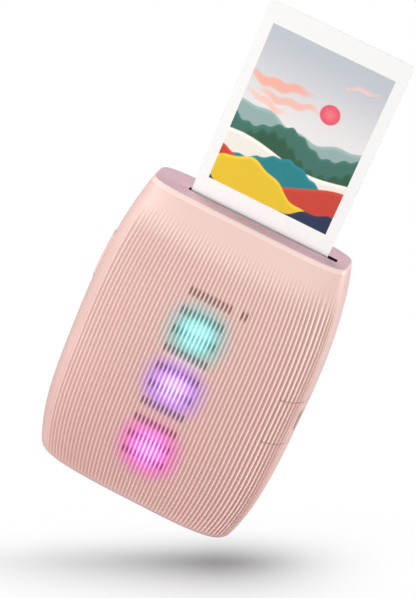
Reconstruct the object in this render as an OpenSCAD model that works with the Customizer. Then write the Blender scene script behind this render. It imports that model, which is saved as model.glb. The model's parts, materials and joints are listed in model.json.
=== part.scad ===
// Compact photo printer: a fluted, barrel-shaped hand-held printer for instant film.
// Frame: X to the right seen from the front, -Y out of the front, +Z up,
// origin on the surface that the printer stands on, under the middle of the body.

/* [Body] */
// Widest width of the body
body_w = 91; // [90:0.5:95]
// Largest depth of the body
body_d = 37; // [36.5:0.5:40]
// Height of the body without the print
body_h = 125; // [124.5:0.5:128]
// Height of the widest section
waist_z = 52; // [48:1:56]
// Width of the flat top
top_w = 76.4; // [76:0.2:79]
// Depth of the flat top
top_d = 18.4; // [18:0.2:20]
// Width at the foot before its edge is rounded
foot_w = 78.6; // [77.5:0.1:80]
// Depth that the front loses towards the foot
foot_in_front = 7.5; // [7:0.1:8]
// Depth that the back loses towards the foot
foot_in_rear = 5.8; // [5:0.1:6]
// Radius of the rounded foot edge
foot_r = 4.5; // [3.5:0.1:4.8]
// Wall of the covers
wall = 1.8; // [1.5:0.1:2]

/* [Body curves] */
// How late the sides draw in above the waist
crown_pow_w = 2.8; // [2.6:0.1:3.2]
// How late the front draws in above the waist
crown_pow_front = 2.6; // [2.5:0.1:3]
// How late the back draws in above the waist
crown_pow_rear = 3.4; // [3.2:0.1:3.8]
// How late the sides draw in below the waist
skirt_pow_w = 3.1; // [2.9:0.1:3.6]
// How late the front draws in below the waist
skirt_pow_front = 1.7; // [1.6:0.1:2]
// How late the back draws in below the waist
skirt_pow_rear = 3; // [2.8:0.1:3.4]
// Squareness of the front half of each section
front_square = 3.2; // [3:0.1:3.6]
// Squareness of the back half of each section
rear_square = 4.4; // [4.2:0.1:4.8]
// Squareness of the top outline
top_square = 5; // [4.8:0.1:5.4]

/* [Covers] */
// Where the front and rear covers meet
part_y = 2; // [1.8:0.1:2.4]
// Thickness of the top cap
cap_t = 1.8; // [1.5:0.1:2]
// Rounded upper edge of the top cap
cap_edge = 0.8; // [0.4:0.1:1]
// Depth of the locating lip under the top cap
cap_lip = 1.8; // [1.2:0.1:2]
// Gap between neighbouring covers
seam = 0.12; // [0.08:0.01:0.2]
// Radius of a screw boss
boss_r = 2.1; // [1.9:0.1:2.1]
// Radius of a case screw's shank
screw_r = 0.8; // [0.7:0.05:0.9]
// Length of a case screw's shank
screw_len = 11; // [9:0.5:12]
// Radius of a case screw's head
screw_head_r = 1.5; // [1.3:0.1:1.6]
// Height of the lower screws
screw_low_z = 5.1; // [4.9:0.1:5.2]
// Distance of the lower screws from the middle
screw_low_x = 30; // [28:0.5:31]
// How far the upper screws lie below the rollers' axes
screw_high_drop = 5.8; // [5.3:0.1:6.3]

/* [Port and button] */
// Height of the port panel's lower edge
panel_z = 52.8; // [52:0.1:54]
// Height of the port panel
panel_h = 19.2; // [17:0.1:20]
// Where the port panel starts across the front
panel_x = 36.8; // [36:0.1:38]
// Height of the middle of the charging port
port_z = 62.8; // [62:0.1:63.6]
// Width of the charging socket's metal shell
port_w = 8.94; // [8.9:0.01:9]
// Thickness of the charging socket's metal shell
port_t = 3.26; // [3.2:0.01:3.3]
// Length of the charging socket
port_len = 7.3; // [6.9:0.1:7.4]
// Height of the middle of the power button
button_z = 88.7; // [87.5:0.1:89.5]
// Front-to-back place of the power button
button_y = -5; // [-5.5:0.1:-4.6]
// Width of the power button
button_w = 6; // [5:0.1:6.5]
// Length of the power button
button_h = 18.8; // [17:0.1:19.4]
// How far the power button stands out
button_out = 0.4; // [0.3:0.05:0.5]
// Travel of the power button
button_travel = 0.6; // [0.4:0.05:0.6]

/* [Film] */
// Width of a film sheet
film_w = 54; // [53:0.5:54.5]
// Height of a film sheet
film_h = 86; // [84:0.5:86.5]
// Thickness of a film sheet
film_t = 0.5; // [0.4:0.05:0.55]
// Film centre to the right of the body's centre
film_x = 2.8; // [2.4:0.1:3]
// Front-to-back place of the film plane
film_y = -1.4; // [-1.5:0.05:-1.3]
// Length of the ejected film still below the rollers' grip
film_tail = 2.4; // [1.5:0.1:3]
// Travel of the film once the rollers hold it
film_travel = 83; // [60:1:83]
// Length of the film slot
slot_len = 58.6; // [57:0.1:59]
// Width of the film slot
slot_w = 2.4; // [2.2:0.1:2.6]
// Slot centre to the right of the film's centre
slot_shift = 1.4; // [0.8:0.1:1.6]

/* [Film pack] */
// Width of the film pack
pack_w = 65; // [64:0.5:65]
// Depth of the film pack
pack_d = 13.2; // [12.6:0.1:13.3]
// Height of the film pack
pack_h = 89.8; // [89.8:0.1:90]
// Wall of the film pack
pack_wall = 1; // [0.8:0.1:1.1]
// Thickness of the stack of unexposed film
stack_t = 5; // [4.8:0.1:5]
// Thickness of the sprung plate behind the stack
back_plate_t = 0.9; // [0.7:0.1:0.9]
// Width of each pressure window
window_w = 9; // [8:0.5:10]
// Height of the pressure windows
window_h = 40; // [36:1:44]
// Half the distance between the pressure windows
window_x = 14; // [12:0.5:15]
// Height of the middle of the pressure windows
window_z = 54; // [52:0.5:56]

/* [Chassis] */
// Height of the bay floor that the pack stands on
bay_z = 8.6; // [8.5:0.1:8.7]
// Thickness of the chassis side plates
plate_t = 1.4; // [1.2:0.1:1.4]
// Thickness of the chassis front plate and floor
web_t = 1.2; // [1:0.1:1.2]
// Clearance around the pack
pack_gap = 0.3; // [0.2:0.05:0.35]
// Clearance between the film pack and the deck's upper face
deck_room = 4.6; // [4.5:0.1:4.8]
// Thickness of the roller arms
arm_t = 1.6; // [1.4:0.1:1.7]
// Clearance between the film's edge and the roller arms
arm_gap = 1.3; // [1.2:0.1:1.4]

/* [Drive] */
// Height of the grip line below the top
nip_drop = 7.2; // [7:0.1:7.4]
// Radius of the rollers
roller_r = 2.6; // [2.5:0.05:2.65]
// Clearance between a roller and the film
nip_gap = 0.1; // [0.1:0.01:0.15]
// Radius of the roller shafts
shaft_r = 1; // [0.8:0.05:1.1]
// Radial running clearance
running = 0.05; // [0.03:0.01:0.08]
// Outer radius of a shaft bush
bush_r = 1.9; // [1.7:0.1:2]
// Teeth on the drive gear
drive_teeth = 12; // [12:1:12]
// Teeth on the idler gear
idler_teeth = 32; // [32:1:32]
// Teeth on the motor pinion
pinion_teeth = 12; // [12:1:12]
// Face width of the gears
gear_w = 2; // [1.6:0.1:2]
// Radius of the motor can
motor_r = 4.2; // [4:0.1:4.3]
// Length of the motor with its gearhead
motor_len = 18; // [15:0.5:18]
// Front-to-back place of the motor's axis
motor_y = -8.7; // [-8.8:0.05:-8.6]
// How far the motor's axis lies below the rollers' axes
motor_drop = 19.6; // [19.4:0.1:19.8]

/* [Pick claw] */
// Stroke of the pick claw
claw_travel = 20; // [15:1:20]
// Thickness of the claw's slide
claw_t = 1.2; // [1:0.1:1.3]
// Width of the claw's slide
claw_w = 7; // [6:0.5:8]

/* [Door and latch] */
// Half the width of the film door
door_half_w = 37; // [36.6:0.1:37.4]
// How far the door's upper edge lies above the deck
door_rise = 5; // [4.8:0.1:5.2]
// Radius of the door's upper corners
door_corner = 5; // [3:0.5:6]
// Gap around the door
door_gap = 0.25; // [0.2:0.01:0.35]
// Height of the hinge axis
hinge_z = 8; // [7.8:0.1:8.1]
// Radius of a hinge knuckle
knuckle_r = 2; // [1.9:0.05:2]
// Half the length of the hinge
hinge_half = 24; // [20:1:25]
// Radius of the hinge pin
hinge_pin_r = 1; // [0.8:0.05:1.1]
// Travel of the door latch
latch_travel = 4; // [3.5:0.1:4]
// Width of the latch's thumb pad
thumb_w = 14; // [13:0.5:16]
// How far the thumb pad stands out
thumb_out = 1; // [0.6:0.1:1.2]

/* [Electronics] */
// Heights of the three status lights
led_z = [83, 59, 29];
// Width of a status light
led_w = 3.5; // [3:0.1:4]
// Width of the light board
led_board_w = 14; // [12:0.5:15]
// Front face of the light board
led_board_y = -11.6; // [-11.8:0.1:-11.4]
// Thickness of the circuit boards
board_t = 0.8; // [0.6:0.1:1]
// Height of the main board's standoffs
standoff = 2; // [1.8:0.1:2.2]
// Width of the battery
battery_w = 24; // [20:0.5:24]
// Height of the battery
battery_h = 48; // [44:0.5:50]
// Thickness of the battery
battery_t = 5; // [4:0.1:5]

/* [Hidden] */
$fn = 48;

shell_sides = 72;
cavity_sides = 48;
foot_rows = 4;
crown_rows = 11;
far = 300;
sunk = 0.5;

body_pink = "#e6b1a7";
cap_pink = "#d5b4c0";
door_pink = "#e2aca2";
dark_plastic = "#2b2b2e";
steel = "#b9bcc0";
board_green = "#1f5a45";

// covers
cap_z = body_h - cap_t;
lip_gap = 0.4;
floor_t = wall;
panel_flange = 1.5;

// film, pack and chassis, from front to back
film_front = film_y - film_t / 2;
film_back = film_y + film_t / 2;
sheet_gap = 0.15;
pack_y0 = film_front - sheet_gap - pack_wall;
pack_y1 = pack_y0 + pack_d;
pack_x0 = film_x - pack_w / 2;
pack_x1 = film_x + pack_w / 2;
pack_top = bay_z + pack_h;
web_y1 = pack_y0 - pack_gap;
web_y0 = web_y1 - web_t;
bay_y1 = pack_y1 - 1.4;
plate_x0 = pack_x0 - pack_gap - plate_t;
plate_x1 = pack_x1 + pack_gap + plate_t;
bay_floor_z = bay_z - web_t;
deck_t = 1.5;
deck_z = pack_top + deck_room;
door_top = deck_z + door_rise;
arm_in = film_w / 2 + arm_gap;
arm_x0 = film_x - arm_in - arm_t;
arm_x1 = film_x + arm_in + arm_t;

// sheets, plate and springs behind the film plane
stack_z0 = bay_z + pack_wall + 1.6;
stack_front = film_back + sheet_gap + 0.1;
plate_front = stack_front + stack_t;
plate_back = plate_front + back_plate_t;
spring_half = 18;
spring_t = 0.3;
spring_w = 6;
spring_foot_y = body_d / 2 - wall - 1;
spring_dip = spring_foot_y - plate_back - 0.3;
spring_steps = 16;

// rollers and gears
nip_z = body_h - nip_drop;
motor_z = nip_z - motor_drop;
roller_off = film_t / 2 + nip_gap + roller_r;
drive_y = film_y - roller_off;
pinch_y = film_y + roller_off;
film_z = nip_z - film_tail;
gear_module = 2 * roller_off / drive_teeth;
arm_y0 = drive_y - roller_r;
arm_y1 = pinch_y + roller_r;
arm_top = nip_z + 2.5;
gear_x = arm_x0 - 0.5 - gear_w;
idler_pin_r = 1;
motor_shaft_r = 0.75;
head_h = 6.5;
head_front = arm_y0 - 2;
lens_x0 = film_x - film_w / 2 + 3;
lens_x1 = film_x + film_w / 2 - 3;
lens_y0 = film_front - 1.25;
lens_z0 = deck_z + 2.4;
lens_z1 = lens_z0 + 1.8;
drive_pitch = gear_module * drive_teeth / 2;
idler_pitch = gear_module * idler_teeth / 2;
pinion_pitch = gear_module * pinion_teeth / 2;
// the idler's axis lies where both gears reach it, behind the line between them
train_dy = motor_y - drive_y;
train_dz = motor_z - nip_z;
train_len = sqrt(train_dy * train_dy + train_dz * train_dz);
train_a = drive_pitch + idler_pitch;
train_b = idler_pitch + pinion_pitch;
train_along = (train_a * train_a - train_b * train_b + train_len * train_len) / (2 * train_len);
train_out = sqrt(train_a * train_a - train_along * train_along);
idler_y = drive_y + train_along * train_dy / train_len - train_out * train_dz / train_len;
idler_z = nip_z + train_along * train_dz / train_len + train_out * train_dy / train_len;
// angles at which the teeth of each pair are in mesh
to_idler = atan2(idler_z - nip_z, idler_y - drive_y);
to_pinion = atan2(motor_z - idler_z, motor_y - idler_y);
drive_phase = to_idler;
idler_phase = mesh_phase(to_idler, drive_phase, drive_teeth, idler_teeth);
pinion_phase = mesh_phase(to_pinion, idler_phase, idler_teeth, pinion_teeth);

// screws: the lower pair stands under the bay, the upper pair beside the roller arms
lug_y0 = part_y - 1.1;
lug_r = boss_r - 0.3;
screw_high_x = arm_x1 + 1 + boss_r;
screw_high_z = nip_z - screw_high_drop;
screw_spots = [for (s = [-1, 1]) each [[s * screw_low_x, screw_low_z], [s * screw_high_x, screw_high_z]]];
lug_bar_z = idler_z + idler_pitch + 0.6;
screw_head_y = lug_y0 + 5.2;
screw_head_t = 1;

// hinge along the lower edge of the door, its knuckles flush with the back
hinge_y = rear_d(hinge_z) - knuckle_r - 0.1;
knuckle_gap = 0.3;
knuckle_len = 8;
edge_x0 = hinge_half + knuckle_gap;

// latch: rests unlocked, and slides to -X to lock
latch_y0 = pack_y1 - 1.45;
latch_y1 = latch_y0 + 1.2;
latch_z0 = door_top + 1;
latch_z1 = latch_z0 + 6.4;
hook_t = 1.2;
hook_y0 = latch_y0 - 0.3 - hook_t;
hook_x = [8.5, -14];
hook_reach = 4.7;
hook_z0 = deck_z + 0.5;
hook_z1 = door_top - 0.8;
finger_w = 2.4;
thumb_x = latch_travel / 2;
thumb_z0 = latch_z0 + 0.9;
thumb_z1 = latch_z1 - 1;
stem_w = 8;

// charging socket, boards and battery
board_y0 = web_y0 - standoff - board_t;
board_y1 = web_y0 - standoff;
port_y = board_y1 + port_t / 2;
port_x1 = body_w / 2 - 0.6;
port_wall = 0.3;
board_x0 = -8;
board_x1 = body_w / 2 - 11.5;
board_z0 = 16;
board_z1 = deck_z - 15;
board_hole_x = [board_x0 + 4, board_x1 - 4];
board_hole_z = [board_z0 + 4, board_z1 - 4];
tab_x = body_w / 2 - 4.2;
tab_half = 8;
chips_x = board_x0 + 8;
battery_x = 11.5 - body_w / 2;
battery_z = 18;
post_z = [20.5, 97.5];
post_r = 1.6;
led_t = 1.4;
guide_y0 = led_board_y - 2.4;
guide_t = 0.8;
guide_z0 = led_z[2] - 3;
guide_z1 = led_z[0] + 7;

// power button and its switch
button_flange = 0.8;
stem_end = -(body_w / 2 - 8);
switch_side = 6;
switch_rim = 0.8;
plunger_r = 1.6;
button_board_t = 1;
button_board_h = 16;
button_board_front = 3.5;
button_board_back = 4.5;
switch_gap = button_travel + 0.1;

// pick claw
claw_x0 = plate_x1 + 0.3;
claw_y0 = film_front - 0.35;
claw_z0 = bay_z + 1.1;
claw_pin_r = 1;
claw_pin_z = [for (i = [1, 2]) claw_z0 + i * (claw_travel + 4) + 1.6];
claw_top = claw_pin_z[1] + 3;
claw_slot_y = claw_y0 + claw_w / 2;

function signed_pow(v, p) = sign(v) * pow(abs(v), p);
function crown(z) = max(0, (min(z, body_h) - waist_z) / (body_h - waist_z));
function skirt(z) = max(0, (waist_z - z) / waist_z);
function foot_edge(z) = let (h = max(0, foot_r - max(z, 0))) foot_r - sqrt(foot_r * foot_r - h * h);
// half width and half depths of the section at height z
function half_w(z) = body_w / 2 - (body_w - top_w) / 2 * pow(crown(z), crown_pow_w)
  - (body_w - foot_w) / 2 * pow(skirt(z), skirt_pow_w) - foot_edge(z);
function front_d(z) = body_d / 2 - (body_d - top_d) / 2 * pow(crown(z), crown_pow_front)
  - foot_in_front * pow(skirt(z), skirt_pow_front) - foot_edge(z);
function rear_d(z) = body_d / 2 - (body_d - top_d) / 2 * pow(crown(z), crown_pow_rear)
  - foot_in_rear * pow(skirt(z), skirt_pow_rear) - foot_edge(z);
function squareness(z, base) = base + (top_square - base) * pow(crown(z), 2);
// point of a section at angle t, the section drawn in by inset
function section_point(t, z, inset) =
  let (rear = t > 0 && t < 180,
       n = squareness(z, rear ? rear_square : front_square),
       d = rear ? rear_d(z) : front_d(z))
  [(half_w(z) - inset) * signed_pow(cos(t), 2 / n), (d - inset) * signed_pow(sin(t), 2 / n), z];

// phase of a gear that meshes with another one seen at angle line from it
function mesh_phase(line, phase, teeth, own_teeth) =
  line + 180 + 180 / own_teeth - (phase - line) * teeth / own_teeth;

// closed solid through the sections rows = [[height, inset], ...]
module loft(rows, sides) {
  last = len(rows) - 1;
  points = [for (r = rows) for (i = [0:sides - 1]) section_point(i * 360 / sides, r[0], r[1])];
  faces = [
    [for (i = [0:sides - 1]) i],
    [for (i = [sides - 1:-1:0]) last * sides + i],
    for (k = [0:last - 1]) for (i = [0:sides - 1])
      let (a = k * sides + i, b = k * sides + (i + 1) % sides)
      each [[a, a + sides, b + sides], [a, b + sides, b]]
  ];
  polyhedron(points = points, faces = faces);
}

function foot_heights() = [for (i = [0:foot_rows]) foot_r * (1 - cos(i * 90 / foot_rows))];
function crown_heights(top) = [for (i = [1:crown_rows]) foot_r + (top - foot_r) * i / crown_rows];

module body_form(inset = 0, sides = shell_sides) {
  loft([for (z = concat(foot_heights(), crown_heights(body_h))) [z, inset]], sides);
}

module cavity_form(inset = wall, base = floor_t) {
  loft([[base, inset], for (z = concat([foot_r], crown_heights(body_h))) [z, inset]], cavity_sides);
}

// ring of the given thickness, from a depth of inset below the outer surface
module skin(inset, thickness) {
  difference() {
    body_form(inset, cavity_sides);
    cavity_form(inset + thickness, -1);
  }
}

module block(low, high) {
  translate(low) cube(high - low);
}

// round bar along Y
module bar_y(x, y0, y1, z, r) {
  translate([x, y0, z]) rotate([-90, 0, 0]) cylinder(r = r, h = y1 - y0);
}

// round bar along X
module bar_x(x0, x1, y, z, r) {
  translate([x0, y, z]) rotate([0, 90, 0]) cylinder(r = r, h = x1 - x0);
}

module shell_part(y0, y1) {
  intersection() {
    difference() {
      body_form();
      cavity_form();
    }
    block([-far, y0, -1], [far, y1, cap_z - seam]);
  }
}

// outline of the film door, grown by gap, as a block through the back
module door_block(gap) {
  r = door_corner;
  translate([0, far, 0]) rotate([90, 0, 0]) linear_extrude(far - part_y)
    hull() {
      for (s = [-1, 1]) translate([s * (door_half_w + gap - r), door_top + gap - r]) circle(r);
      translate([-door_half_w - gap, hinge_z]) square([2 * (door_half_w + gap), 1]);
    }
}

// spans of the hinge knuckles: the covers' own and the door's
cover_knuckles = [[-hinge_half, knuckle_len - hinge_half], [-knuckle_len / 2, knuckle_len / 2],
  [hinge_half - knuckle_len, hinge_half]];
door_knuckles = [for (i = [0, 1])
  [cover_knuckles[i][1] + knuckle_gap, cover_knuckles[i + 1][0] - knuckle_gap]];

module front_cover() {
  color(body_pink) difference() {
    union() {
      shell_part(-far, part_y - seam / 2);
      intersection() {
        body_form();
        union() {
          for (p = screw_spots) bar_y(p[0], -far, lug_y0, p[1], boss_r);
          for (z = post_z) bar_y(0, -far, led_board_y, z, post_r);
        }
      }
      for (z = post_z) bar_y(0, led_board_y - sunk, led_board_y + board_t, z, screw_r);
    }
    for (p = screw_spots) bar_y(p[0], lug_y0 - screw_len, part_y, p[1], screw_r);
    block([panel_x, -far, panel_z], [far, part_y, panel_z + panel_h]);
    block([-far, button_y - button_w / 2 - 0.2, button_z - button_h / 2 - 0.2],
      [-body_w / 4, button_y + button_w / 2 + 0.2, button_z + button_h / 2 + 0.2]);
  }
}

// Room for the door's rounded lower edge to turn in
module hinge_trough() {
  block([-door_half_w - door_gap, hinge_y - knuckle_r - 1, hinge_z - knuckle_r - knuckle_gap],
    [door_half_w + door_gap, far, hinge_z + 1]);
}

module rear_cover() {
  color(body_pink) difference() {
    union() {
      difference() {
        shell_part(part_y + seam / 2, far);
        door_block(door_gap);
        hinge_trough();
      }
      intersection() {
        body_form();
        union() {
          difference() {
            for (p = screw_spots) bar_y(p[0], part_y, far, p[1], boss_r);
            hinge_trough();
          }
          for (k = cover_knuckles)
            block([k[0], hinge_y - 0.7, hinge_z - knuckle_r - 1.5], [k[1], hinge_y + 0.5, hinge_z]);
          latch_rails();
        }
      }
      for (k = cover_knuckles) bar_x(k[0], k[1], hinge_y, hinge_z, knuckle_r);
    }
    bar_x(-hinge_half - 1, hinge_half + 1, hinge_y, hinge_z, hinge_pin_r);
    for (p = screw_spots) {
      bar_y(p[0], part_y - 1, far, p[1], screw_r + 0.2);
      bar_y(p[0], screw_head_y, far, p[1], screw_head_r + 0.3);
    }
    // window that the latch's stem moves in
    block([thumb_x - latch_travel - stem_w / 2 - 0.3, latch_y1 + 0.3, thumb_z0 + 0.6],
      [thumb_x + stem_w / 2 + 0.3, far, thumb_z1 - 0.6]);
  }
}

// rails inside the rear cover that hold the latch's slide
module latch_rails() {
  rail_x0 = -14;
  rail_x1 = 18;
  lower_x0 = hook_x[1] + hook_reach + finger_w + 1.8;
  lower_x1 = hook_x[0] + 0.5;
  block([rail_x0, hook_y0 + 0.2, latch_z1 + 0.3], [rail_x1, rear_d(latch_z1 + 0.3), latch_z1 + 1.5]);
  block([rail_x0, hook_y0 + 0.2, latch_z1 - 1.2], [rail_x1, latch_y0 - 0.25, latch_z1 + 1.5]);
  block([lower_x0, hook_y0 + 0.2, latch_z0 - 0.7], [lower_x1, rear_d(latch_z0), latch_z0 - 0.25]);
  block([lower_x0, hook_y0 + 0.2, latch_z0 - 0.7], [lower_x1, latch_y0 - 0.25, latch_z0 + 1]);
}

module film_door() {
  color(door_pink) difference() {
    union() {
      difference() {
        intersection() {
          shell_part(part_y, far);
          door_block(0);
        }
        for (k = cover_knuckles)
          bar_x(k[0] - knuckle_gap, k[1] + knuckle_gap, hinge_y, hinge_z, knuckle_r + knuckle_gap);
      }
      for (k = door_knuckles) bar_x(k[0], k[1], hinge_y, hinge_z, knuckle_r);
      // rounded lower edge beside the hinge
      intersection() {
        body_form();
        for (s = [-1, 1])
          translate([s * (edge_x0 + door_half_w) / 2, hinge_y, hinge_z]) rotate([0, 90, 0])
            cylinder(h = door_half_w - edge_x0, r = knuckle_r, center = true);
      }
      // hooks that the latch's fingers go behind
      intersection() {
        body_form(wall / 2, cavity_sides);
        for (x = hook_x) {
          block([x, hook_y0, hook_z0], [x + hook_t, far, hook_z1]);
          block([x, hook_y0, hook_z0], [x + hook_reach, hook_y0 + hook_t, hook_z1]);
        }
      }
      // pads that the pressure springs are fixed to
      for (s = [-1, 1]) for (z = [-1, 1])
        block([film_x + s * window_x - 2, spring_foot_y, window_z + z * spring_half - 2],
          [film_x + s * window_x + 2, body_d / 2 - wall / 2 - 0.5, window_z + z * spring_half + 2]);
    }
    bar_x(-hinge_half, hinge_half, hinge_y, hinge_z, hinge_pin_r + running);
  }
}

// bowed leaf springs of the door, which press on the plate in the pack
module pressure_springs() {
  line = [for (i = [0:spring_steps])
    let (u = 2 * i / spring_steps - 1)
    [spring_foot_y - spring_t - (spring_dip - spring_t) * pow(1 - u * u, 2), u * (spring_half + 1.5)]];
  color(steel) for (s = [-1, 1])
    translate([film_x + s * window_x - spring_w / 2, 0, window_z]) rotate([90, 0, 90])
      linear_extrude(spring_w)
        polygon(concat(line, [for (i = [spring_steps:-1:0]) line[i] + [spring_t, 0]]));
}

module top_cap() {
  top = [for (a = [0:30:90]) [body_h - cap_edge * (1 - sin(a)), cap_edge * (1 - cos(a))]];
  color(cap_pink) difference() {
    union() {
      loft(concat([[cap_z, 0]], top), shell_sides);
      difference() {
        loft([[cap_z - cap_lip, wall + lip_gap], [cap_z, wall + lip_gap]], cavity_sides);
        loft([[cap_z - cap_lip - 1, wall + lip_gap + 1], [cap_z + 0.1, wall + lip_gap + 1]], cavity_sides);
      }
    }
    translate([film_x + slot_shift, film_y, cap_z - 1])
      linear_extrude(cap_t + 2) square([slot_len, slot_w], center = true);
  }
}

// side panel around the charging port, with a flange behind the front cover's edge
module port_panel() {
  z0 = panel_z + seam;
  z1 = panel_z + panel_h - seam;
  color(body_pink) difference() {
    union() {
      intersection() {
        shell_part(-far, part_y - seam / 2);
        block([panel_x + seam, -far, z0], [far, part_y, z1]);
      }
      intersection() {
        skin(wall - 0.1, 0.1 + seam + 0.7);
        block([panel_x + panel_flange, -far, z0], [far, part_y - 1.5, z1]);
      }
      intersection() {
        skin(wall + seam, 0.7);
        block([panel_x + panel_flange, -far, z0 - panel_flange], [far, part_y - 1.5, z1 + panel_flange]);
      }
    }
    block([port_x1 - port_len, port_y - port_t / 2 - 0.2, port_z - port_w / 2 - 0.2],
      [far, port_y + port_t / 2 + 0.2, port_z + port_w / 2 + 0.2]);
  }
}

module chassis() {
  color(dark_plastic) difference() {
    union() {
      // bay for the film pack
      block([plate_x0, web_y0, bay_floor_z], [pack_x0 - pack_gap, bay_y1, pack_top - 0.2]);
      block([pack_x1 + pack_gap, web_y0, bay_floor_z], [plate_x1, bay_y1, deck_z]);
      block([plate_x0, web_y0, bay_floor_z], [plate_x1, web_y1, pack_top - 0.2]);
      block([arm_x0, web_y0, bay_floor_z], [plate_x1, web_y1, deck_z]);
      block([plate_x0, web_y0, bay_floor_z], [plate_x1, bay_y1, bay_z]);
      block([arm_x0, web_y0, deck_z - deck_t], [plate_x1, bay_y1, deck_z]);
      // arms for the rollers
      for (x = [arm_x0, arm_x1 - arm_t])
        block([x, arm_y0, deck_z - deck_t], [x + arm_t, arm_y1, arm_top]);
      // lugs held by the case screws
      for (p = screw_spots) bar_y(p[0], lug_y0, part_y, p[1], lug_r);
      for (s = [-1, 1])
        block([s * screw_low_x - 1.6, lug_y0, screw_low_z], [s * screw_low_x + 1.6, part_y, bay_z]);
      block([arm_x1 - arm_t, lug_y0, screw_high_z - 1.4], [screw_high_x, part_y, screw_high_z + 1.4]);
      // the left upper lug goes over the gear train
      block([-screw_high_x - 1.4, lug_y0, screw_high_z], [1.4 - screw_high_x, part_y, lug_bar_z + 2]);
      block([-screw_high_x, lug_y0, lug_bar_z], [arm_x0 + arm_t, part_y, lug_bar_z + 2]);
      // cradle for the motor
      for (x = [arm_x0 + 3, arm_x0 + motor_len - 3])
        block([x, motor_y - 1, min(motor_z - motor_r - 1.2, deck_z - deck_t)],
          [x + 1.6, web_y1, motor_z + motor_r + 0.6]);
      // standoffs for the main board
      for (x = board_hole_x) for (z = board_hole_z) bar_y(x, board_y1, web_y1, z, 1.8);
      for (z = claw_pin_z) {
        bar_x(plate_x1 - sunk, claw_x0 + claw_t + 0.3, claw_slot_y, z, claw_pin_r);
        bar_x(claw_x0 + claw_t + 0.2, claw_x0 + claw_t + 0.8, claw_slot_y, z, claw_pin_r + 0.8);
      }
    }
    // path of the film through the deck
    translate([film_x, film_y, deck_z]) cube([2 * arm_in, slot_w, 4 * deck_t], center = true);
    for (y = [drive_y, pinch_y]) bar_x(-far, far, y, nip_z, bush_r);
    bar_x(arm_x0 - 1, arm_x0 + arm_t + 1, idler_y, idler_z, idler_pin_r);
    for (p = screw_spots) bar_y(p[0], lug_y0 - 1, part_y + 1, p[1], screw_r + 0.2);
    bar_x(arm_x0, arm_x0 + motor_len + 5, motor_y, motor_z, motor_r + running);
    // slot for the pick claw
    block([pack_x1 - 1, claw_y0 - 0.2, bay_z + 0.4], [claw_x0, film_back + 0.3, claw_z0 + claw_travel + 2]);
  }
}

module case_screws() {
  color(steel) for (p = screw_spots) {
    bar_y(p[0], lug_y0 - screw_len + 5.2, screw_head_y + 0.1, p[1], screw_r);
    difference() {
      bar_y(p[0], screw_head_y, screw_head_y + screw_head_t, p[1], screw_head_r);
      for (a = [0, 90]) translate([p[0], screw_head_y + screw_head_t, p[1]]) rotate([0, a, 0])
        cube([screw_head_r * 1.2, 1, 0.35], center = true);
    }
  }
}

module main_board() {
  color(board_green) difference() {
    union() {
      block([board_x0, board_y0, board_z0], [board_x1, board_y1, board_z1]);
      block([board_x1 - 1, board_y0, port_z - tab_half], [tab_x, board_y1, port_z + tab_half]);
    }
    for (x = board_hole_x) for (z = board_hole_z)
      bar_y(x, board_y0 - 1, board_y1 + 1, z, 1);
  }
}

// processor, memory, radio module and connectors on the main board
module board_chips() {
  chips = [[4, 60, 12, 12, 1.2], [20, 62, 8, 10, 1], [6, 40, 9, 7, 1],
    [22, 34, 10, 16, 1.4], [24, 76, 6, 5, 1.2]];
  color(dark_plastic) for (c = chips)
    block([c[0] + chips_x, board_y0 - c[4], c[1]], [c[0] + chips_x + c[2], board_y0, c[1] + c[3]]);
}

module charging_socket() {
  r = port_t / 2;
  color(steel) {
    difference() {
      socket_form(port_x1 - port_len, port_len, 0);
      socket_form(port_x1 - port_len + 0.5, port_len, port_wall);
    }
    block([port_x1 - port_len + 0.4, port_y - 0.35, port_z - 3.2],
      [port_x1 - 0.8, port_y + 0.35, port_z + 3.2]);
  }
}

module socket_form(x, length, inset) {
  r = port_t / 2 - inset;
  c = port_w / 2 - port_t / 2;
  for (s = [-1, 1]) bar_x(x, x + length, port_y, port_z + s * c, r);
  block([x, port_y - r, port_z - c], [x + length, port_y + r, port_z + c]);
}

module battery() {
  r = 1;
  color("#8d9096") hull() for (x = [r, battery_w - r]) for (z = [r, battery_h - r])
    bar_y(battery_x + x, web_y0 - battery_t, web_y0, battery_z + z, r, $fn = 24);
}

module light_board() {
  color("#f2f2ee") difference() {
    block([-led_board_w / 2, led_board_y, post_z[0] - 2.5],
      [led_board_w / 2, led_board_y + board_t, post_z[1] + 2.5]);
    for (z = post_z) bar_y(0, led_board_y - 1, led_board_y + board_t + 1, z, screw_r);
  }
}

module status_light(z, lens_color) {
  color("#f0f0ea") block([-led_w / 2, led_board_y - led_t * 0.6, z - led_w / 2],
    [led_w / 2, led_board_y, z + led_w / 2]);
  color(lens_color) bar_y(0, led_board_y - led_t, led_board_y - led_t * 0.6, z, led_w * 0.42);
}

module light_top() { status_light(led_z[0], "#4fdede"); }
module light_middle() { status_light(led_z[1], "#a060f0"); }
module light_bottom() { status_light(led_z[2], "#f03cd8"); }

// clear strip that spreads the three lights behind the front cover
module light_guide() {
  color("#e9f2f4") {
    block([-led_board_w / 2 + 1, guide_y0, guide_z0], [led_board_w / 2 - 1, guide_y0 + guide_t, guide_z1]);
    for (z = [(led_z[0] + led_z[1]) / 2, (led_z[1] + led_z[2]) / 2])
      block([-2, guide_y0 + guide_t / 2, z - 1.5], [2, led_board_y, z + 1.5]);
  }
}

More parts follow.
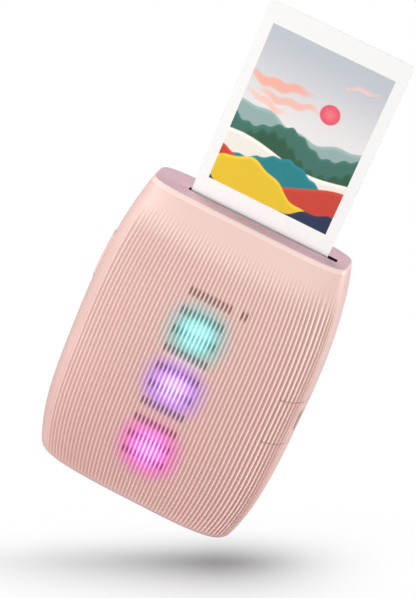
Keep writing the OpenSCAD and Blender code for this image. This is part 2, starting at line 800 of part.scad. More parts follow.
module gear_motor() {
  head_len = motor_len * 0.4;
  color(steel) difference() {
    union() {
      bar_x(arm_x0, arm_x0 + motor_len, motor_y, motor_z, motor_r);
      bar_x(arm_x0 + motor_len - 0.1, arm_x0 + motor_len + 1, motor_y, motor_z, 1.4);
    }
    bar_x(arm_x0 - 1, arm_x0 + head_len, motor_y, motor_z, motor_shaft_r + running);
    // joint between the gearhead and the can
    difference() {
      bar_x(arm_x0 + head_len, arm_x0 + head_len + 0.4, motor_y, motor_z, motor_r + 1);
      bar_x(arm_x0 + head_len - 1, arm_x0 + head_len + 2, motor_y, motor_z, motor_r - 0.25);
    }
  }
}

module shaft_bushes() {
  color("#c9a45c") for (y = [drive_y, pinch_y]) for (s = [-1, 1]) {
    face = film_x + s * arm_in;
    difference() {
      union() {
        bar_x(min(face, face + s * arm_t), max(face, face + s * arm_t), y, nip_z, bush_r);
        bar_x(min(face, face - s * 0.4), max(face, face - s * 0.4), y, nip_z, bush_r + 0.4);
      }
      bar_x(face - 5, face + 5, y, nip_z, shaft_r + running);
    }
  }
}

module idler_pin() {
  color(steel) bar_x(gear_x - 0.3, arm_x0 + arm_t, idler_y, idler_z, idler_pin_r);
}

// line head that exposes the film as it passes, above the deck
module exposure_head() {
  color(dark_plastic) difference() {
    block([film_x - arm_in + 0.2, head_front, deck_z],
      [film_x + arm_in - 0.2, film_front - 0.85, deck_z + head_h]);
    block([lens_x0, lens_y0, lens_z0], [lens_x1, film_front, lens_z1]);
  }
}

module head_lens() {
  color("#dfeef5") block([lens_x0, lens_y0, lens_z0], [lens_x1, film_front - 0.5, lens_z1]);
}

// foam strips under the slot that keep light out
module slot_seal() {
  color("#1d1d1f") for (s = [-1, 1])
    block([film_x + slot_shift - slot_len / 2, film_y + s * (slot_w / 2 + 0.4) - 0.8, cap_z - 1.2],
      [film_x + slot_shift + slot_len / 2, film_y + s * (slot_w / 2 + 0.4) + 0.8, cap_z]);
}

module button_board() {
  color(board_green)
    block([plate_x0 - button_board_t, button_y - button_board_front, button_z - button_board_h / 2],
      [plate_x0, button_y + button_board_back, button_z + button_board_h / 2]);
}

module button_switch() {
  color(dark_plastic) {
    block([stem_end + switch_gap + switch_rim, button_y - switch_side / 2, button_z - switch_side / 2],
      [plate_x0 - button_board_t, button_y + switch_side / 2, button_z + switch_side / 2]);
    bar_x(stem_end + switch_gap, stem_end + switch_gap + switch_rim + 0.2, button_y, button_z, plunger_r);
  }
}

module film_pack() {
  cavity_z0 = bay_z + pack_wall;
  color(dark_plastic) difference() {
    block([pack_x0, pack_y0, bay_z], [pack_x1, pack_y1, pack_top]);
    block([pack_x0 + pack_wall, pack_y0 + pack_wall, cavity_z0],
      [pack_x1 - pack_wall, pack_y1 - pack_wall, pack_top - pack_wall]);
    // slit that the film leaves by
    block([film_x - film_w / 2 - 0.5, film_front - sheet_gap, pack_top - 2],
      [film_x + film_w / 2 + 0.5, film_back + sheet_gap, pack_top + 1]);
    // windows for the pressure springs
    for (s = [-1, 1])
      block([film_x + s * window_x - window_w / 2, pack_y1 - 2, window_z - window_h / 2],
        [film_x + s * window_x + window_w / 2, pack_y1 + 1, window_z + window_h / 2]);
    // slot for the pick claw
    block([pack_x1 - 2, claw_y0 - 0.2, bay_z - 1],
      [pack_x1 + 1, film_back + 0.3, claw_z0 + claw_travel + 2]);
  }
}

module film_stack() {
  color("#e8e6e0") block([film_x - film_w / 2, stack_front, stack_z0],
    [film_x + film_w / 2, plate_front, stack_z0 + film_h]);
}

module pack_plate() {
  color("#3a3a3e") block([film_x - film_w / 2, plate_front, stack_z0],
    [film_x + film_w / 2, plate_back, stack_z0 + film_h]);
}

module door_seal() {
  color("#1d1d1f") for (x = [plate_x0, pack_x1 + pack_gap])
    block([x, bay_y1, bay_z + 4], [x + plate_t, bay_y1 + 0.7, pack_top - 4]);
}

module hinge_pin() {
  color(steel) bar_x(-hinge_half, hinge_half, hinge_y, hinge_z, hinge_pin_r);
}

module latch_knob() {
  color("#d9a096") {
    intersection() {
      difference() {
        body_form(-thumb_out, cavity_sides);
        cavity_form(-0.15, -1);
      }
      hull() for (x = [-1, 1]) for (z = [thumb_z0 + 1, thumb_z1 - 1])
        bar_y(thumb_x + x * (thumb_w / 2 - 1), part_y, far, z, 1, $fn = 24);
    }
    intersection() {
      block([thumb_x - stem_w / 2, latch_y1, thumb_z0 + 0.9], [thumb_x + stem_w / 2, far, thumb_z1 - 0.9]);
      body_form(-thumb_out / 2, cavity_sides);
    }
  }
}

module latch_slide() {
  x0 = hook_x[1] + hook_reach + 0.8;
  x1 = hook_x[0] + hook_reach + 0.8 + finger_w;
  color(dark_plastic) {
    block([x0, latch_y0, latch_z0], [x1, latch_y1, latch_z1]);
    for (x = hook_x)
      block([x + hook_reach + 0.8, latch_y0, hook_z0 + 0.5],
        [x + hook_reach + 0.8 + finger_w, latch_y1, latch_z0 + 1]);
  }
}

module drive_shaft() {
  color(steel) bar_x(gear_x - 0.3, arm_x1 + 0.4, drive_y, nip_z, shaft_r);
}

module pinch_shaft() {
  color(steel) bar_x(arm_x0 - 0.2, arm_x1 + 0.4, pinch_y, nip_z, shaft_r);
}

module roller_sleeve(y) {
  color("#3b3b3f") difference() {
    bar_x(film_x - film_w / 2 - 0.4, film_x + film_w / 2 + 0.4, y, nip_z, roller_r);
    bar_x(-far, far, y, nip_z, shaft_r);
  }
}

module drive_roller() { roller_sleeve(drive_y); }
module pinch_roller() { roller_sleeve(pinch_y); }

// spur gear in the plane of X, with straight-sided teeth and a little backlash
module gear(y, z, teeth, phase, bore) {
  pitch_r = gear_module * teeth / 2;
  step = 360 / teeth;
  flank = [[-0.29, -1.2], [-0.21, 0], [-0.11, 0.9], [0.11, 0.9], [0.21, 0], [0.29, -1.2]];
  outline = [for (k = [0:teeth - 1]) for (p = flank)
    let (a = phase + (k + p[0]) * step, r = pitch_r + p[1] * gear_module)
    [r * cos(a), r * sin(a)]];
  translate([gear_x, y, z]) rotate([90, 0, 90]) difference() {
    linear_extrude(gear_w) polygon(outline);
    translate([0, 0, -1]) cylinder(r = bore, h = gear_w + 2);
  }
}

module drive_gear() { color("#e8e4d8") gear(drive_y, nip_z, drive_teeth, drive_phase, shaft_r); }
module idler_gear() {
  color("#e8e4d8") gear(idler_y, idler_z, idler_teeth, idler_phase, idler_pin_r + running);
}
module motor_pinion() {
  color("#d8b860") gear(motor_y, motor_z, pinion_teeth, pinion_phase, motor_shaft_r);
  color(steel) bar_x(gear_x - 0.3, arm_x0 + 5, motor_y, motor_z, motor_shaft_r);
}

module instant_print() {
  color("#f4f3f0")
    block([film_x - film_w / 2, film_front, film_z], [film_x + film_w / 2, film_back, film_z + film_h]);
}

module power_button() {
  y0 = button_y - button_w / 2;
  y1 = button_y + button_w / 2;
  z0 = button_z - button_h / 2;
  z1 = button_z + button_h / 2;
  color("#dfa79d") {
    intersection() {
      difference() {
        body_form(-button_out, cavity_sides);
        cavity_form(wall, -1);
      }
      block([-far, y0, z0], [-body_w / 4, y1, z1]);
    }
    intersection() {
      difference() {
        body_form(wall - 0.1, cavity_sides);
        cavity_form(wall + 0.3, -1);
      }
      block([-far, y0, z0], [-body_w / 4, y1, z1]);
    }
    intersection() {
      skin(wall + 0.25, button_flange);
      block([-far, y0 - 1, z0 - 1.2], [-body_w / 4, y1 + 1, z1 + 1.2]);
    }
    intersection() {
      body_form(wall + 0.4, cavity_sides);
      block([-far, button_y - 1.2, button_z - 2], [stem_end, button_y + 1.2, button_z + 2]);
    }
  }
}

module pick_claw() {
  color("#4a4a50") {
    difference() {
      block([claw_x0, claw_y0, claw_z0], [claw_x0 + claw_t, claw_y0 + claw_w, claw_top]);
      for (z = claw_pin_z) {
        for (d = [-claw_travel, 0])
          bar_x(claw_x0 - 1, claw_x0 + claw_t + 1, claw_slot_y, z + d, claw_pin_r + running);
        block([claw_x0 - 1, claw_slot_y - claw_pin_r - running, z - claw_travel],
          [claw_x0 + claw_t + 1, claw_slot_y + claw_pin_r + running, z]);
      }
    }
    block([film_x + film_w / 2 - 1.3, film_front - 0.1, claw_z0],
      [claw_x0 + sunk, film_back + 0.1, claw_z0 + 1.3]);
  }
}

front_cover();
rear_cover();
top_cap();
port_panel();
chassis();
case_screws();
main_board();
board_chips();
charging_socket();
battery();
light_board();
light_top();
light_middle();
light_bottom();
light_guide();
gear_motor();
shaft_bushes();
idler_pin();
exposure_head();
head_lens();
slot_seal();
button_board();
button_switch();
film_pack();
film_stack();
pack_plate();
door_seal();
hinge_pin();
film_door();
pressure_springs();
latch_knob();
latch_slide();
drive_shaft();
drive_roller();
drive_gear();
pinch_shaft();
pinch_roller();
idler_gear();
motor_pinion();
instant_print();
power_button();
pick_claw();
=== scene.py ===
import json
import math
import bmesh
import bpy
import numpy as np
from mathutils import Matrix, Vector


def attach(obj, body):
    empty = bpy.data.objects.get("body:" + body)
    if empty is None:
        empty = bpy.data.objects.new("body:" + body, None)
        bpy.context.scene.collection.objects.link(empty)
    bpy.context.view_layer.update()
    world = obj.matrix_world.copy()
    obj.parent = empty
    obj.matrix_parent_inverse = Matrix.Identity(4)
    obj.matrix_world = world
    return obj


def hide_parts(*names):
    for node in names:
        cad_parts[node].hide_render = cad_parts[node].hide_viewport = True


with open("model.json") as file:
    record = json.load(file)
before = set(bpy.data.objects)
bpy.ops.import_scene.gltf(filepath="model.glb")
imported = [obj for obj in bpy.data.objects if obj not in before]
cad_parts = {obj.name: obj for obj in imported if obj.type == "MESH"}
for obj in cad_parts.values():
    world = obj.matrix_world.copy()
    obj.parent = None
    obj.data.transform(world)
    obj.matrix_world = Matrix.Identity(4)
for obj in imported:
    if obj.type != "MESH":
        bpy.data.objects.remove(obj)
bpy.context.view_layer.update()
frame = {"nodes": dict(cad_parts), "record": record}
print("frame loaded:", len(frame["nodes"]), "nodes")

mm = 0.001
scene = bpy.context.scene

# small tools


def toLinear(hexText):
    # sRGB hex to linear: the lower part is a straight line, the rest a power of 2.4
    parts = [int(hexText[i:i + 2], 16) / 255 for i in (1, 3, 5)]
    return tuple(p / 12.92 if p <= 0.04045 else ((p + 0.055) / 1.055) ** 2.4 for p in parts) + (1.0,)


def toneOf(hexText):
    return np.array(toLinear(hexText)[:3])


def addNode(tree, kind, settings=None, feeds=None, stops=None):
    # one node: its own settings, then a value or another node's output for each input
    node = tree.nodes.new("ShaderNode" + kind)
    for name, value in (settings or {}).items():
        setattr(node, name, value)
    for name, value in (feeds or {}).items():
        if isinstance(value, bpy.types.NodeSocket):
            tree.links.new(value, node.inputs[name])
        else:
            node.inputs[name].default_value = value
    if stops:
        ramp = node.color_ramp.elements
        while len(ramp) < len(stops):
            ramp.new(0.5)
        for step, (place, colour) in zip(ramp, stops):
            step.position, step.color = place, toLinear(colour)
    return node


def newMaterial(name, **sockets):
    # a named material with its shader's own sockets set
    material = bpy.data.materials.new(name)
    material.use_nodes = True
    tree = material.node_tree
    shader = tree.nodes["Principled BSDF"]
    for key, value in sockets.items():
        shader.inputs[key.replace("_", " ")].default_value = value
    place = addNode(tree, "TexCoord").outputs["Object"]
    return material, tree, shader, place


def addThing(name, data):
    thing = bpy.data.objects.new(name, data)
    scene.collection.objects.link(thing)
    return thing


def storeMarks(mesh, marks):
    # each mark is one number or one colour for every point of the mesh
    for key, values in marks.items():
        colour = values.ndim == 3
        flat = values.reshape(-1, 3) if colour else values.ravel()
        if colour:
            flat = np.concatenate([flat, np.ones((len(flat), 1))], 1)
        layer = mesh.attributes.new(key, "FLOAT_COLOR" if colour else "FLOAT", "POINT")
        layer.data.foreach_set("color" if colour else "value", flat.astype(np.float32).ravel())


def dressPiece(name, mesh, material, angle):
    # edges sharper than the angle stay crisp
    mesh.materials.append(material)
    mesh.shade_smooth()
    mesh.set_sharp_from_angle(angle=math.radians(angle))
    return addThing(name, mesh)


def meshPiece(name, points, faces, material, angle=50):
    # points in millimetres
    mesh = bpy.data.meshes.new(name)
    mesh.from_pydata((np.asarray(points) * mm).tolist(), [], faces if isinstance(faces, list) else faces.tolist())
    mesh.update()
    return dressPiece(name, mesh, material, angle)


def gridFaces(rows, columns, closed=False):
    # quads between neighbouring rows and columns; closed joins the last column to the first
    last = columns if closed else columns - 1
    r, c = np.meshgrid(np.arange(rows - 1), np.arange(last), indexing="ij")
    a, b = r * columns + c, r * columns + (c + 1) % columns
    return np.stack([a, b, b + columns, a + columns], -1).reshape(-1, 4)


def smoothStep(low, high, value):
    # 0 below low, 1 above high, an S curve between them
    t = np.clip((value - low) / (high - low), 0, 1)
    return t * t * (3 - 2 * t)


# body's form

body = dict(halfWidth=45.5, halfDepth=18.5, waist=52.0, height=125.0, capJoint=123.2, partY=2.0, seam=0.12,
            footRadius=4.5, sunk=0.03, jointGap=0.005)
# how far the waist's half sizes are drawn in at the top and at the foot, and the power that they grow by on the way
taper = dict(widthTop=(7.3, 2.8), widthFoot=(6.2, 3.1), frontTop=(9.3, 2.6), frontFoot=(7.5, 1.7),
             rearTop=(9.3, 3.4), rearFoot=(5.8, 3.0))
# power of the section's superellipse at the waist, in front and behind, and at the top
square = dict(front=3.2, rear=4.4, top=5.0)
# band is where the face ends, as a share of the half width, and samples are the points to a rib. arc and fade are
# for the front's left corner, then for the others; top and foot are the heights between which the ribs fade out;
# smooth is the tone of what has no ribs, between a flute's 0 and a crest's 1
ribbing = dict(pitch=1.632, offset=0.45, depth=0.42, band=0.85, arc=(3.6, 8.6), fade=(3.2, 1.0), samples=10,
               top=(119.5, 104.0), foot=(1.2, 5.5), smooth=0.5, rows=57, sideSteps=9, arcSamples=600)


def shareUp(z):
    # share of the way from the waist up to the top
    return np.maximum(0, (np.minimum(z, body["height"]) - body["waist"]) / (body["height"] - body["waist"]))


def drawnIn(z, top, foot):
    # the top's amount times the share of the way up to its power, the same towards the foot, and the foot's arc
    down = np.maximum(0, (body["waist"] - z) / body["waist"])
    return top[0] * shareUp(z) ** top[1] + foot[0] * down ** foot[1] + footArc(z)


def widthAt(z):
    # half width: the waist's, less what it is drawn in
    return body["halfWidth"] - drawnIn(z, taper["widthTop"], taper["widthFoot"])


def depthAt(z, rear):
    # half depth in front or behind, in the same way
    front = drawnIn(z, taper["frontTop"], taper["frontFoot"])
    back = drawnIn(z, taper["rearTop"], taper["rearFoot"])
    return body["halfDepth"] - np.where(rear, back, front)


def footArc(z):
    # a quarter circle at the foot: radius less the root of radius squared less height squared
    r = body["footRadius"]
    h = np.maximum(0, r - np.maximum(z, 0))
    return r - np.sqrt(np.maximum(r * r - h * h, 0))


def squareAt(z, rear):
    # power of the section's superellipse, squarer towards the top
    base = np.where(rear, square["rear"], square["front"])
    return base + (square["top"] - base) * shareUp(z) ** 2


def sectionPoints(angle, z, inset=0.0):
    # superellipse: x is half width times the signed power 2/n of the cosine, y likewise of the sine
    rear = np.sin(angle) > 0
    n = squareAt(z, rear)
    c, s = np.cos(angle), np.sin(angle)
    x = (widthAt(z) - inset) * np.sign(c) * np.abs(c) ** (2 / n)
    y = (depthAt(z, rear) - inset) * np.sign(s) * np.abs(s) ** (2 / n)
    return np.stack([x, y, z + 0 * x], -1)


def halfShell(rear, heights, cut):
    # columns across one half of the body, and the count of ribs and the band's strength at each column.
    # Across the face they are even steps of x over half width. Round each corner they are even steps of arc along the
    # section at the waist, kept as shares of the way from the face's edge to the joint between the halves.
    samples, pitch = ribbing["samples"], ribbing["pitch"]
    first, step = ribbing["offset"] / body["halfWidth"], pitch / body["halfWidth"] / samples
    k = np.arange(math.ceil((-ribbing["band"] - first) / step), math.floor((ribbing["band"] - first) / step) + 1)
    w = first + k * step
    z = np.asarray(heights, float)[:, None]
    sign = 1 if rear else -1

    def lineOf(height, across):
        n = squareAt(height, rear)
        return sign * depthAt(height, rear) * (1 - np.abs(across) ** n) ** (1 / n)

    def acrossAt(height, y):
        n = squareAt(height, y > 0)
        return (1 - np.minimum(np.abs(y / depthAt(height, y > 0)), 1) ** n) ** (1 / n)

    x, y = widthAt(z) * w[None], lineOf(z, w[None])
    ribs, band = [k / samples], [np.ones(len(k))]
    for edge, turn in ((0, -1), (-1, 1)):
        waistY = np.linspace(lineOf(body["waist"], w[edge]), cut, ribbing["arcSamples"])
        waistX = widthAt(body["waist"]) * acrossAt(body["waist"], waistY)
        arc = np.concatenate([[0], np.cumsum(np.hypot(np.diff(waistX), np.diff(waistY)))])
        # on the front the ribs stop sooner round the left corner
        reach, soft = (ribbing[key][1 if rear or turn > 0 else 0] for key in ("arc", "fade"))
        fine = np.arange(1, round(reach / pitch * samples) + 1) * pitch / samples
        steps = np.concatenate([fine, np.linspace(fine[-1], arc[-1], ribbing["sideSteps"] + 1)[1:]])
        share = (np.interp(steps, arc, waistY) - waistY[0]) / (cut - waistY[0])
        sideY = y[:, [edge]] + (cut - y[:, [edge]]) * share[None]
        sideX = turn * widthAt(z) * acrossAt(z, sideY)
        count = k[edge] / samples + turn * steps / pitch
        fade = 1 - smoothStep(reach - soft, reach, steps)
        if edge == 0:
            x, y = np.concatenate([sideX[:, ::-1], x], 1), np.concatenate([sideY[:, ::-1], y], 1)
            ribs, band = [count[::-1]] + ribs, [fade[::-1]] + band
        else:
            x, y = np.concatenate([x, sideX], 1), np.concatenate([y, sideY], 1)
            ribs, band = ribs + [count], band + [fade]
    return np.stack([x, y, z + 0 * x], -1), np.concatenate(ribs)[None], np.concatenate(band)[None]


def gridNormals(p):
    # cross product of the differences along and across the grid
    across, along = np.gradient(p, axis=1), np.gradient(p, axis=0)
    normal = np.cross(across, along)
    return normal / np.maximum(np.linalg.norm(normal, axis=-1, keepdims=True), 1e-9)


# first and last are the flutes that each row's slits lie in, extra those of the top row's two more
slits = dict(top=96.0, pitch=7.95, rows=10, length=3.8, width=0.62, depth=0.3, first=-6, last=4, extra=(7, 8),
             ends=(-1.0, -0.3, 0.4), margin=0.02)


def ribSurface(rear):
    # the half's shell, sunk along its normal by the groove's depth, and by the slit's where one lies
    rowsZ = [body["footRadius"] * (1 - math.cos(math.radians(a))) for a in range(0, 91, 10)]
    rowsZ += list(np.linspace(body["footRadius"], body["capJoint"] - body["jointGap"], ribbing["rows"] + 1)[1:])
    if not rear:
        for i in range(slits["rows"]):
            c = slits["top"] - i * slits["pitch"]
            for e in (-1, 1):
                rowsZ += [c + e * (slits["length"] / 2 + s) for s in slits["ends"]]
    rowsZ = np.unique(np.round(rowsZ, 3))
    cut = body["partY"] + (body["seam"] / 2 if rear else -body["seam"] / 2)
    p, ribs, band = halfShell(rear, rowsZ, cut)
    normal = gridNormals(p) * (-1 if rear else 1)
    z = p[..., 2]
    # hollow flutes between narrow crests: the square of the way from a flute's middle, 1 on a crest and 0 in between
    crest = (2 * (ribs - np.floor(ribs)) - 1) ** 2
    band = band * (1 - smoothStep(ribbing["top"][1], ribbing["top"][0], z)) * smoothStep(*ribbing["foot"], z)
    sink = ribbing["depth"] * (1 - crest) * band + body["sunk"]
    slit = np.zeros_like(sink)
    if not rear:
        row = np.clip(np.round((slits["top"] - z) / slits["pitch"]), 0, slits["rows"] - 1)
        near = np.abs(z - (slits["top"] - slits["pitch"] * row))
        groove = np.floor(ribs)
        inRow = (groove >= slits["first"]) & (groove <= slits["last"])
        topRow = (row == 0) & (groove >= slits["extra"][0]) & (groove <= slits["extra"][1])
        off = np.abs(ribs - groove - 0.5) * ribbing["pitch"] + 0 * z
        # a slit is 1 in its middle and runs out softly at both ends
        slit = np.where((inRow | topRow) & (off < slits["width"] / 2 + slits["margin"]), 1.0, 0.0)
        halfLong = slits["length"] / 2
        slit = slit * (1 - smoothStep(halfLong + slits["ends"][0], halfLong + slits["ends"][-1], near))
    p = p - normal * (sink + slits["depth"] * slit)[..., None]
    # the rib mark sets the share between the flutes' painted shade and the crests' painted highlight
    return p, dict(ribShade=ribbing["smooth"] + (crest - ribbing["smooth"]) * band, slit=slit)


# faces within nearby of an outline are cut; past is how far beyond the middle plane a side's faces reach; onLine is
# how close a vertex on the outline lies to it
cutting = dict(nearby=3 * mm, past=4 * mm, onLine=0.02 * mm)
# an outline's two axes, then its third and the side of the body it lies on
fromBehind, fromFront, fromLeft, fromRight = (0, 2, 1, 1), (0, 2, 1, -1), (1, 2, 0, -1), (1, 2, 0, 1)


def cutShape(bm, outline, planes, keepInside):
    # cuts along each side of a convex outline, then removes the faces inside or outside it
    a, b, third, side = planes
    ends = [Vector((p[0] * mm, p[1] * mm)) for p in outline]
    lo = Vector((min(p[0] for p in ends), min(p[1] for p in ends)))
    hi = Vector((max(p[0] for p in ends), max(p[1] for p in ends)))

    def inBox(face, margin):
        c = face.calc_center_median()
        return (lo[0] - margin < c[a] < hi[0] + margin and lo[1] - margin < c[b] < hi[1] + margin
                and c[third] * side > -cutting["past"])

    near = [f for f in bm.faces if inBox(f, cutting["nearby"])]
    geometry = near + list({e for f in near for e in f.edges}) + list({v for f in near for v in f.verts})
    for p, q in zip(ends, ends[1:] + ends[:1]):
        point, across = Vector((0, 0, 0)), Vector((0, 0, 0))
        point[a], point[b] = p
        across[a], across[b] = (q - p)[1], -(q - p)[0]
        # dist is measured in lengths of the normal, so the normal has to be one long
        geometry = bmesh.ops.bisect_plane(bm, geom=geometry, dist=1e-7, plane_co=point,
                                          plane_no=across.normalized())["geom"]
    gone = []
    for f in bm.faces:
        c = f.calc_center_median()
        inside = inBox(f, 0) and all((q - p).cross(Vector((c[a], c[b])) - p) > -1e-12
                                     for p, q in zip(ends, ends[1:] + ends[:1]))
        if inside != keepInside:
            gone.append(f)
    bmesh.ops.delete(bm, geom=gone, context="FACES")


def roundedBox(a0, a1, b0, b1, radii, steps=6):
    # outline of a box, anticlockwise from its lower left, each corner a quarter circle of its own radius
    points = []
    for (ca, cb, turn), r in zip(((a0, b0, 180), (a1, b0, 270), (a1, b1, 0), (a0, b1, 90)), radii):
        if r <= 0:
            points.append((ca, cb))
            continue
        ma, mb = ca + (r if ca == a0 else -r), cb + (r if cb == b0 else -r)
        for i in range(steps + 1):
            t = math.radians(turn + 90 * i / steps)
            points.append((ma + r * math.cos(t), mb + r * math.sin(t)))
    return points


def addSkirt(bm, depth, cuts):
    # open edges go inwards along the surface's own normal, so an opening shows a wall's thickness. Those that a
    # moving part's outline cut go straight in along the outline's third axis, so that the part can pass
    bm.normal_update()
    inward = {v: -v.normal for v in bm.verts}
    for outline, planes, keep in cuts:
        if planes == fromFront:
            continue
        a, b, third, side = planes
        ends = [Vector((p[0] * mm, p[1] * mm)) for p in outline]
        for v in [v for v in bm.verts if v.is_boundary and v.co[third] * side > -cutting["past"]]:
            spot = Vector((v.co[a], v.co[b]))
            for p, q in zip(ends, ends[1:] + ends[:1]):
                along = min(max((spot - p).dot(q - p) / (q - p).length_squared, 0), 1)
                if (p + (q - p) * along - spot).length < cutting["onLine"]:
                    inward[v] = Vector([-side if i == third else 0 for i in range(3)])
                    break
    made = bmesh.ops.extrude_edge_only(bm, edges=[e for e in bm.edges if e.is_boundary])
    fresh = {v for v in made["geom"] if isinstance(v, bmesh.types.BMVert)}
    for v in fresh:
        for e in v.link_edges:
            old = e.other_vert(v)
            if old in inward:
                v.co = old.co + inward[old] * depth * mm
                break


def skinPiece(name, p, marks, material, cuts, flip, skirt):
    # a patch of the body's skin, with its openings cut and its edges turned in by the skirt's depth
    rows, columns = p.shape[:2]
    faces = gridFaces(rows, columns)
    if flip:
        faces = faces[:, ::-1]
    mesh = bpy.data.meshes.new(name)
    mesh.from_pydata((p.reshape(-1, 3) * mm).tolist(), [], faces.tolist())
    storeMarks(mesh, marks)
    bm = bmesh.new()
    bm.from_mesh(mesh)
    for outline, planes, keep in cuts:
        cutShape(bm, outline, planes, keep)
    addSkirt(bm, skirt, cuts)
    bm.to_mesh(mesh)
    bm.free()
    return dressPiece(name, mesh, material, 55)


def innerCopy(name, node, material, inset):
    # a copy of a CAD cover for what lies inside it. Its outer skin is drawn in by the inset, to lie under the ribbed
    # skin: x is scaled by half width less inset over half width, y by the same of the half depth
    source = frame["nodes"][node]
    mesh = source.data.copy()
    bm = bmesh.new()
    bm.from_mesh(mesh)
    bmesh.ops.remove_doubles(bm, verts=bm.verts[:], dist=1e-7)
    bm.to_mesh(mesh)
    bm.free()
    co = np.zeros(len(mesh.vertices) * 3, np.float32)
    mesh.vertices.foreach_get("co", co)
    co = co.reshape(-1, 3).astype(float) / mm
    rear = co[:, 1] > 0
    z = np.clip(co[:, 2], 0, body["height"])
    n, half, depth = squareAt(z, rear), widthAt(z), depthAt(z, rear)
    reach = (np.abs(co[:, 0] / half) ** n + np.abs(co[:, 1] / depth) ** n) ** (1 / n)
    outer = (1 - reach) * np.minimum(half, depth) < cores["near"]
    # the door's hinge knuckle is round, not part of the skin
    fromHinge = np.hypot(co[:, 1] - door["axisY"], co[:, 2] - door["low"])
    outer &= (co[:, 2] > cores["foot"]) & (fromHinge > door["knuckle"] + cores["knuckle"])
    for axis, size in ((0, half), (1, depth)):
        co[:, axis] = np.where(outer, co[:, axis] * (size - inset) / size, co[:, axis])
    mesh.vertices.foreach_set("co", (co * mm).astype(np.float32).ravel())
    mesh.update()
    mesh.materials.clear()
    mesh.materials.append(material)
    return addThing(name, mesh)


# materials

# painted light in these tones: flute and crest are painted shade in the flutes and painted highlight on the crests;
# slit is painted shade in the slits; the cap's mauve is painted shade on the top plate; the foot's tint darkens the
# pink as painted shade
colours = dict(shell="#EBD3CB", shellDeep="#E5C9C0", fluteShade="#BD948C", ribMiddle="#DDBCB4", crest="#F7E0D8",
               cap="#DDB7C3", knob="#EDC7BF", frame="#1F1F22", slit="#84605A", footShade=(1.0, 0.92, 0.93))


def noise(tree, place, scale, detail=2.0, **more):
    # soft grey clouds, scale of them to a metre
    return addNode(tree, "TexNoise", None, {"Vector": place, "Scale": scale, "Detail": detail, **more}).outputs["Fac"]


def spread(tree, value, low, high, start=0.0, end=1.0):
    # start to end becomes low to high
    return addNode(tree, "MapRange", None, {"Value": value, "From Min": start, "From Max": end, "To Min": low,
                                            "To Max": high}).outputs["Result"]


def blend(tree, share, a, b, kind="MIX"):
    node = addNode(tree, "Mix", {"data_type": "RGBA", "blend_type": kind}, {"Factor": share, "A": a, "B": b})
    return node.outputs["Result"]


def toneRamp(tree, share, *stops):
    return addNode(tree, "ValToRGB", None, {"Fac": share}, stops).outputs["Color"]


def stored(tree, key, output="Fac"):
    # what storeMarks kept
    return addNode(tree, "Attribute", {"attribute_name": key}).outputs[output]


def mapped(tree, place, **turn):
    return addNode(tree, "Mapping", None, {"Vector": place, **turn}).outputs["Vector"]


def calculate(tree, operation, *values, clamp=False):
    return addNode(tree, "Math", {"operation": operation, "use_clamp": clamp}, dict(enumerate(values))).outputs[0]


def dress(tree, shader, tone, gloss=None, height=None, bump=0.0, strength=1.0):
    # feeds the shader its colour, its roughness and a relief of bump millimetres
    tree.links.new(tone, shader.inputs["Base Color"])
    if gloss is not None:
        tree.links.new(gloss, shader.inputs["Roughness"])
    if height is not None:
        relief = addNode(tree, "Bump", None, {"Height": height, "Distance": bump * mm, "Strength": strength})
        tree.links.new(relief.outputs["Normal"], shader.inputs["Normal"])


def mouldedPlastic(name, colour, grain, roughness, bump, deep=None, shift=0.06):
    # Injection-moulded ABS or a like plastic: a soft satin sheen from its spark-eroded texture, and a colour that
    # wanders a little over the part. grain is the texture's size in millimetres.
    material, tree, shader, place = newMaterial(name, Roughness=roughness, IOR=1.53)
    fine = noise(tree, place, 1 / (grain * mm), 3.0)
    dark = tuple(v * (1 - shift) for v in toLinear(deep or colour)[:3]) + (1.0,)
    tone = blend(tree, noise(tree, place, 28.0), toLinear(colour), dark)
    dress(tree, shader, tone, spread(tree, fine, roughness - 0.07, roughness + 0.07), fine, bump, 0.5)
    return material


def ribbedSkin(name, lit):
    # The covers' pink ABS. The ribs' crests are painted paler and the grooves darker: painted highlight on the crests
    # and painted shade in the grooves.
    # On the front the status lights' colour is painted over the pink and the surface glows with it, a painted glow
    # stored in the piece's attributes.
    material, tree, shader, place = newMaterial(name, Roughness=0.45, IOR=1.53)
    fine = noise(tree, place, 1 / (0.28 * mm), 3.0)
    uneven = calculate(tree, "MULTIPLY_ADD", noise(tree, place, 24.0), 0.16, -0.08)
    tone = toneRamp(tree, calculate(tree, "ADD", stored(tree, "ribShade"), uneven, clamp=True),
                    (0.0, colours["fluteShade"]), (0.5, colours["ribMiddle"]), (0.9, colours["crest"]))
    # painted shade: the pink darkens a little towards the foot
    height = addNode(tree, "SeparateXYZ", None, {0: place}).outputs["Z"]
    lower = spread(tree, height, 0.0, 1.0, 115 * mm, 0.0)
    base = blend(tree, lower, tone, colours["footShade"] + (1.0,), "MULTIPLY")
    if lit:
        # the slits are painted dark brown: painted shade in their recesses
        base = blend(tree, stored(tree, "slit"), base, toLinear(colours["slit"]))
        # painted light: the status lights' colour over the pink, and their glow given off by the surface
        base = blend(tree, stored(tree, "share"), base, stored(tree, "paintedLightTint", "Color"))
        shader.inputs["Emission Strength"].default_value = 1.0
        tree.links.new(stored(tree, "glow", "Color"), shader.inputs["Emission Color"])
    dress(tree, shader, base, spread(tree, fine, 0.38, 0.54), fine, 0.03, 0.5)
    return material


def workedMetal(name, colour, roughness, grain, stretch, bump=0.01):
    # metal with the lines its making left: noise drawn out along one axis; grain is the lines' spacing in mm
    material, tree, shader, place = newMaterial(name, Metallic=1.0, Roughness=roughness)
    lines = noise(tree, mapped(tree, place, Scale=stretch), 1 / (grain * mm), 4.0)
    pale = toLinear(colour)
    tone = blend(tree, lines, pale, tuple(v * 0.8 for v in pale[:3]) + (1.0,))
    dress(tree, shader, tone, spread(tree, lines, roughness - 0.1, roughness + 0.12), lines, bump, 0.6)
    return material


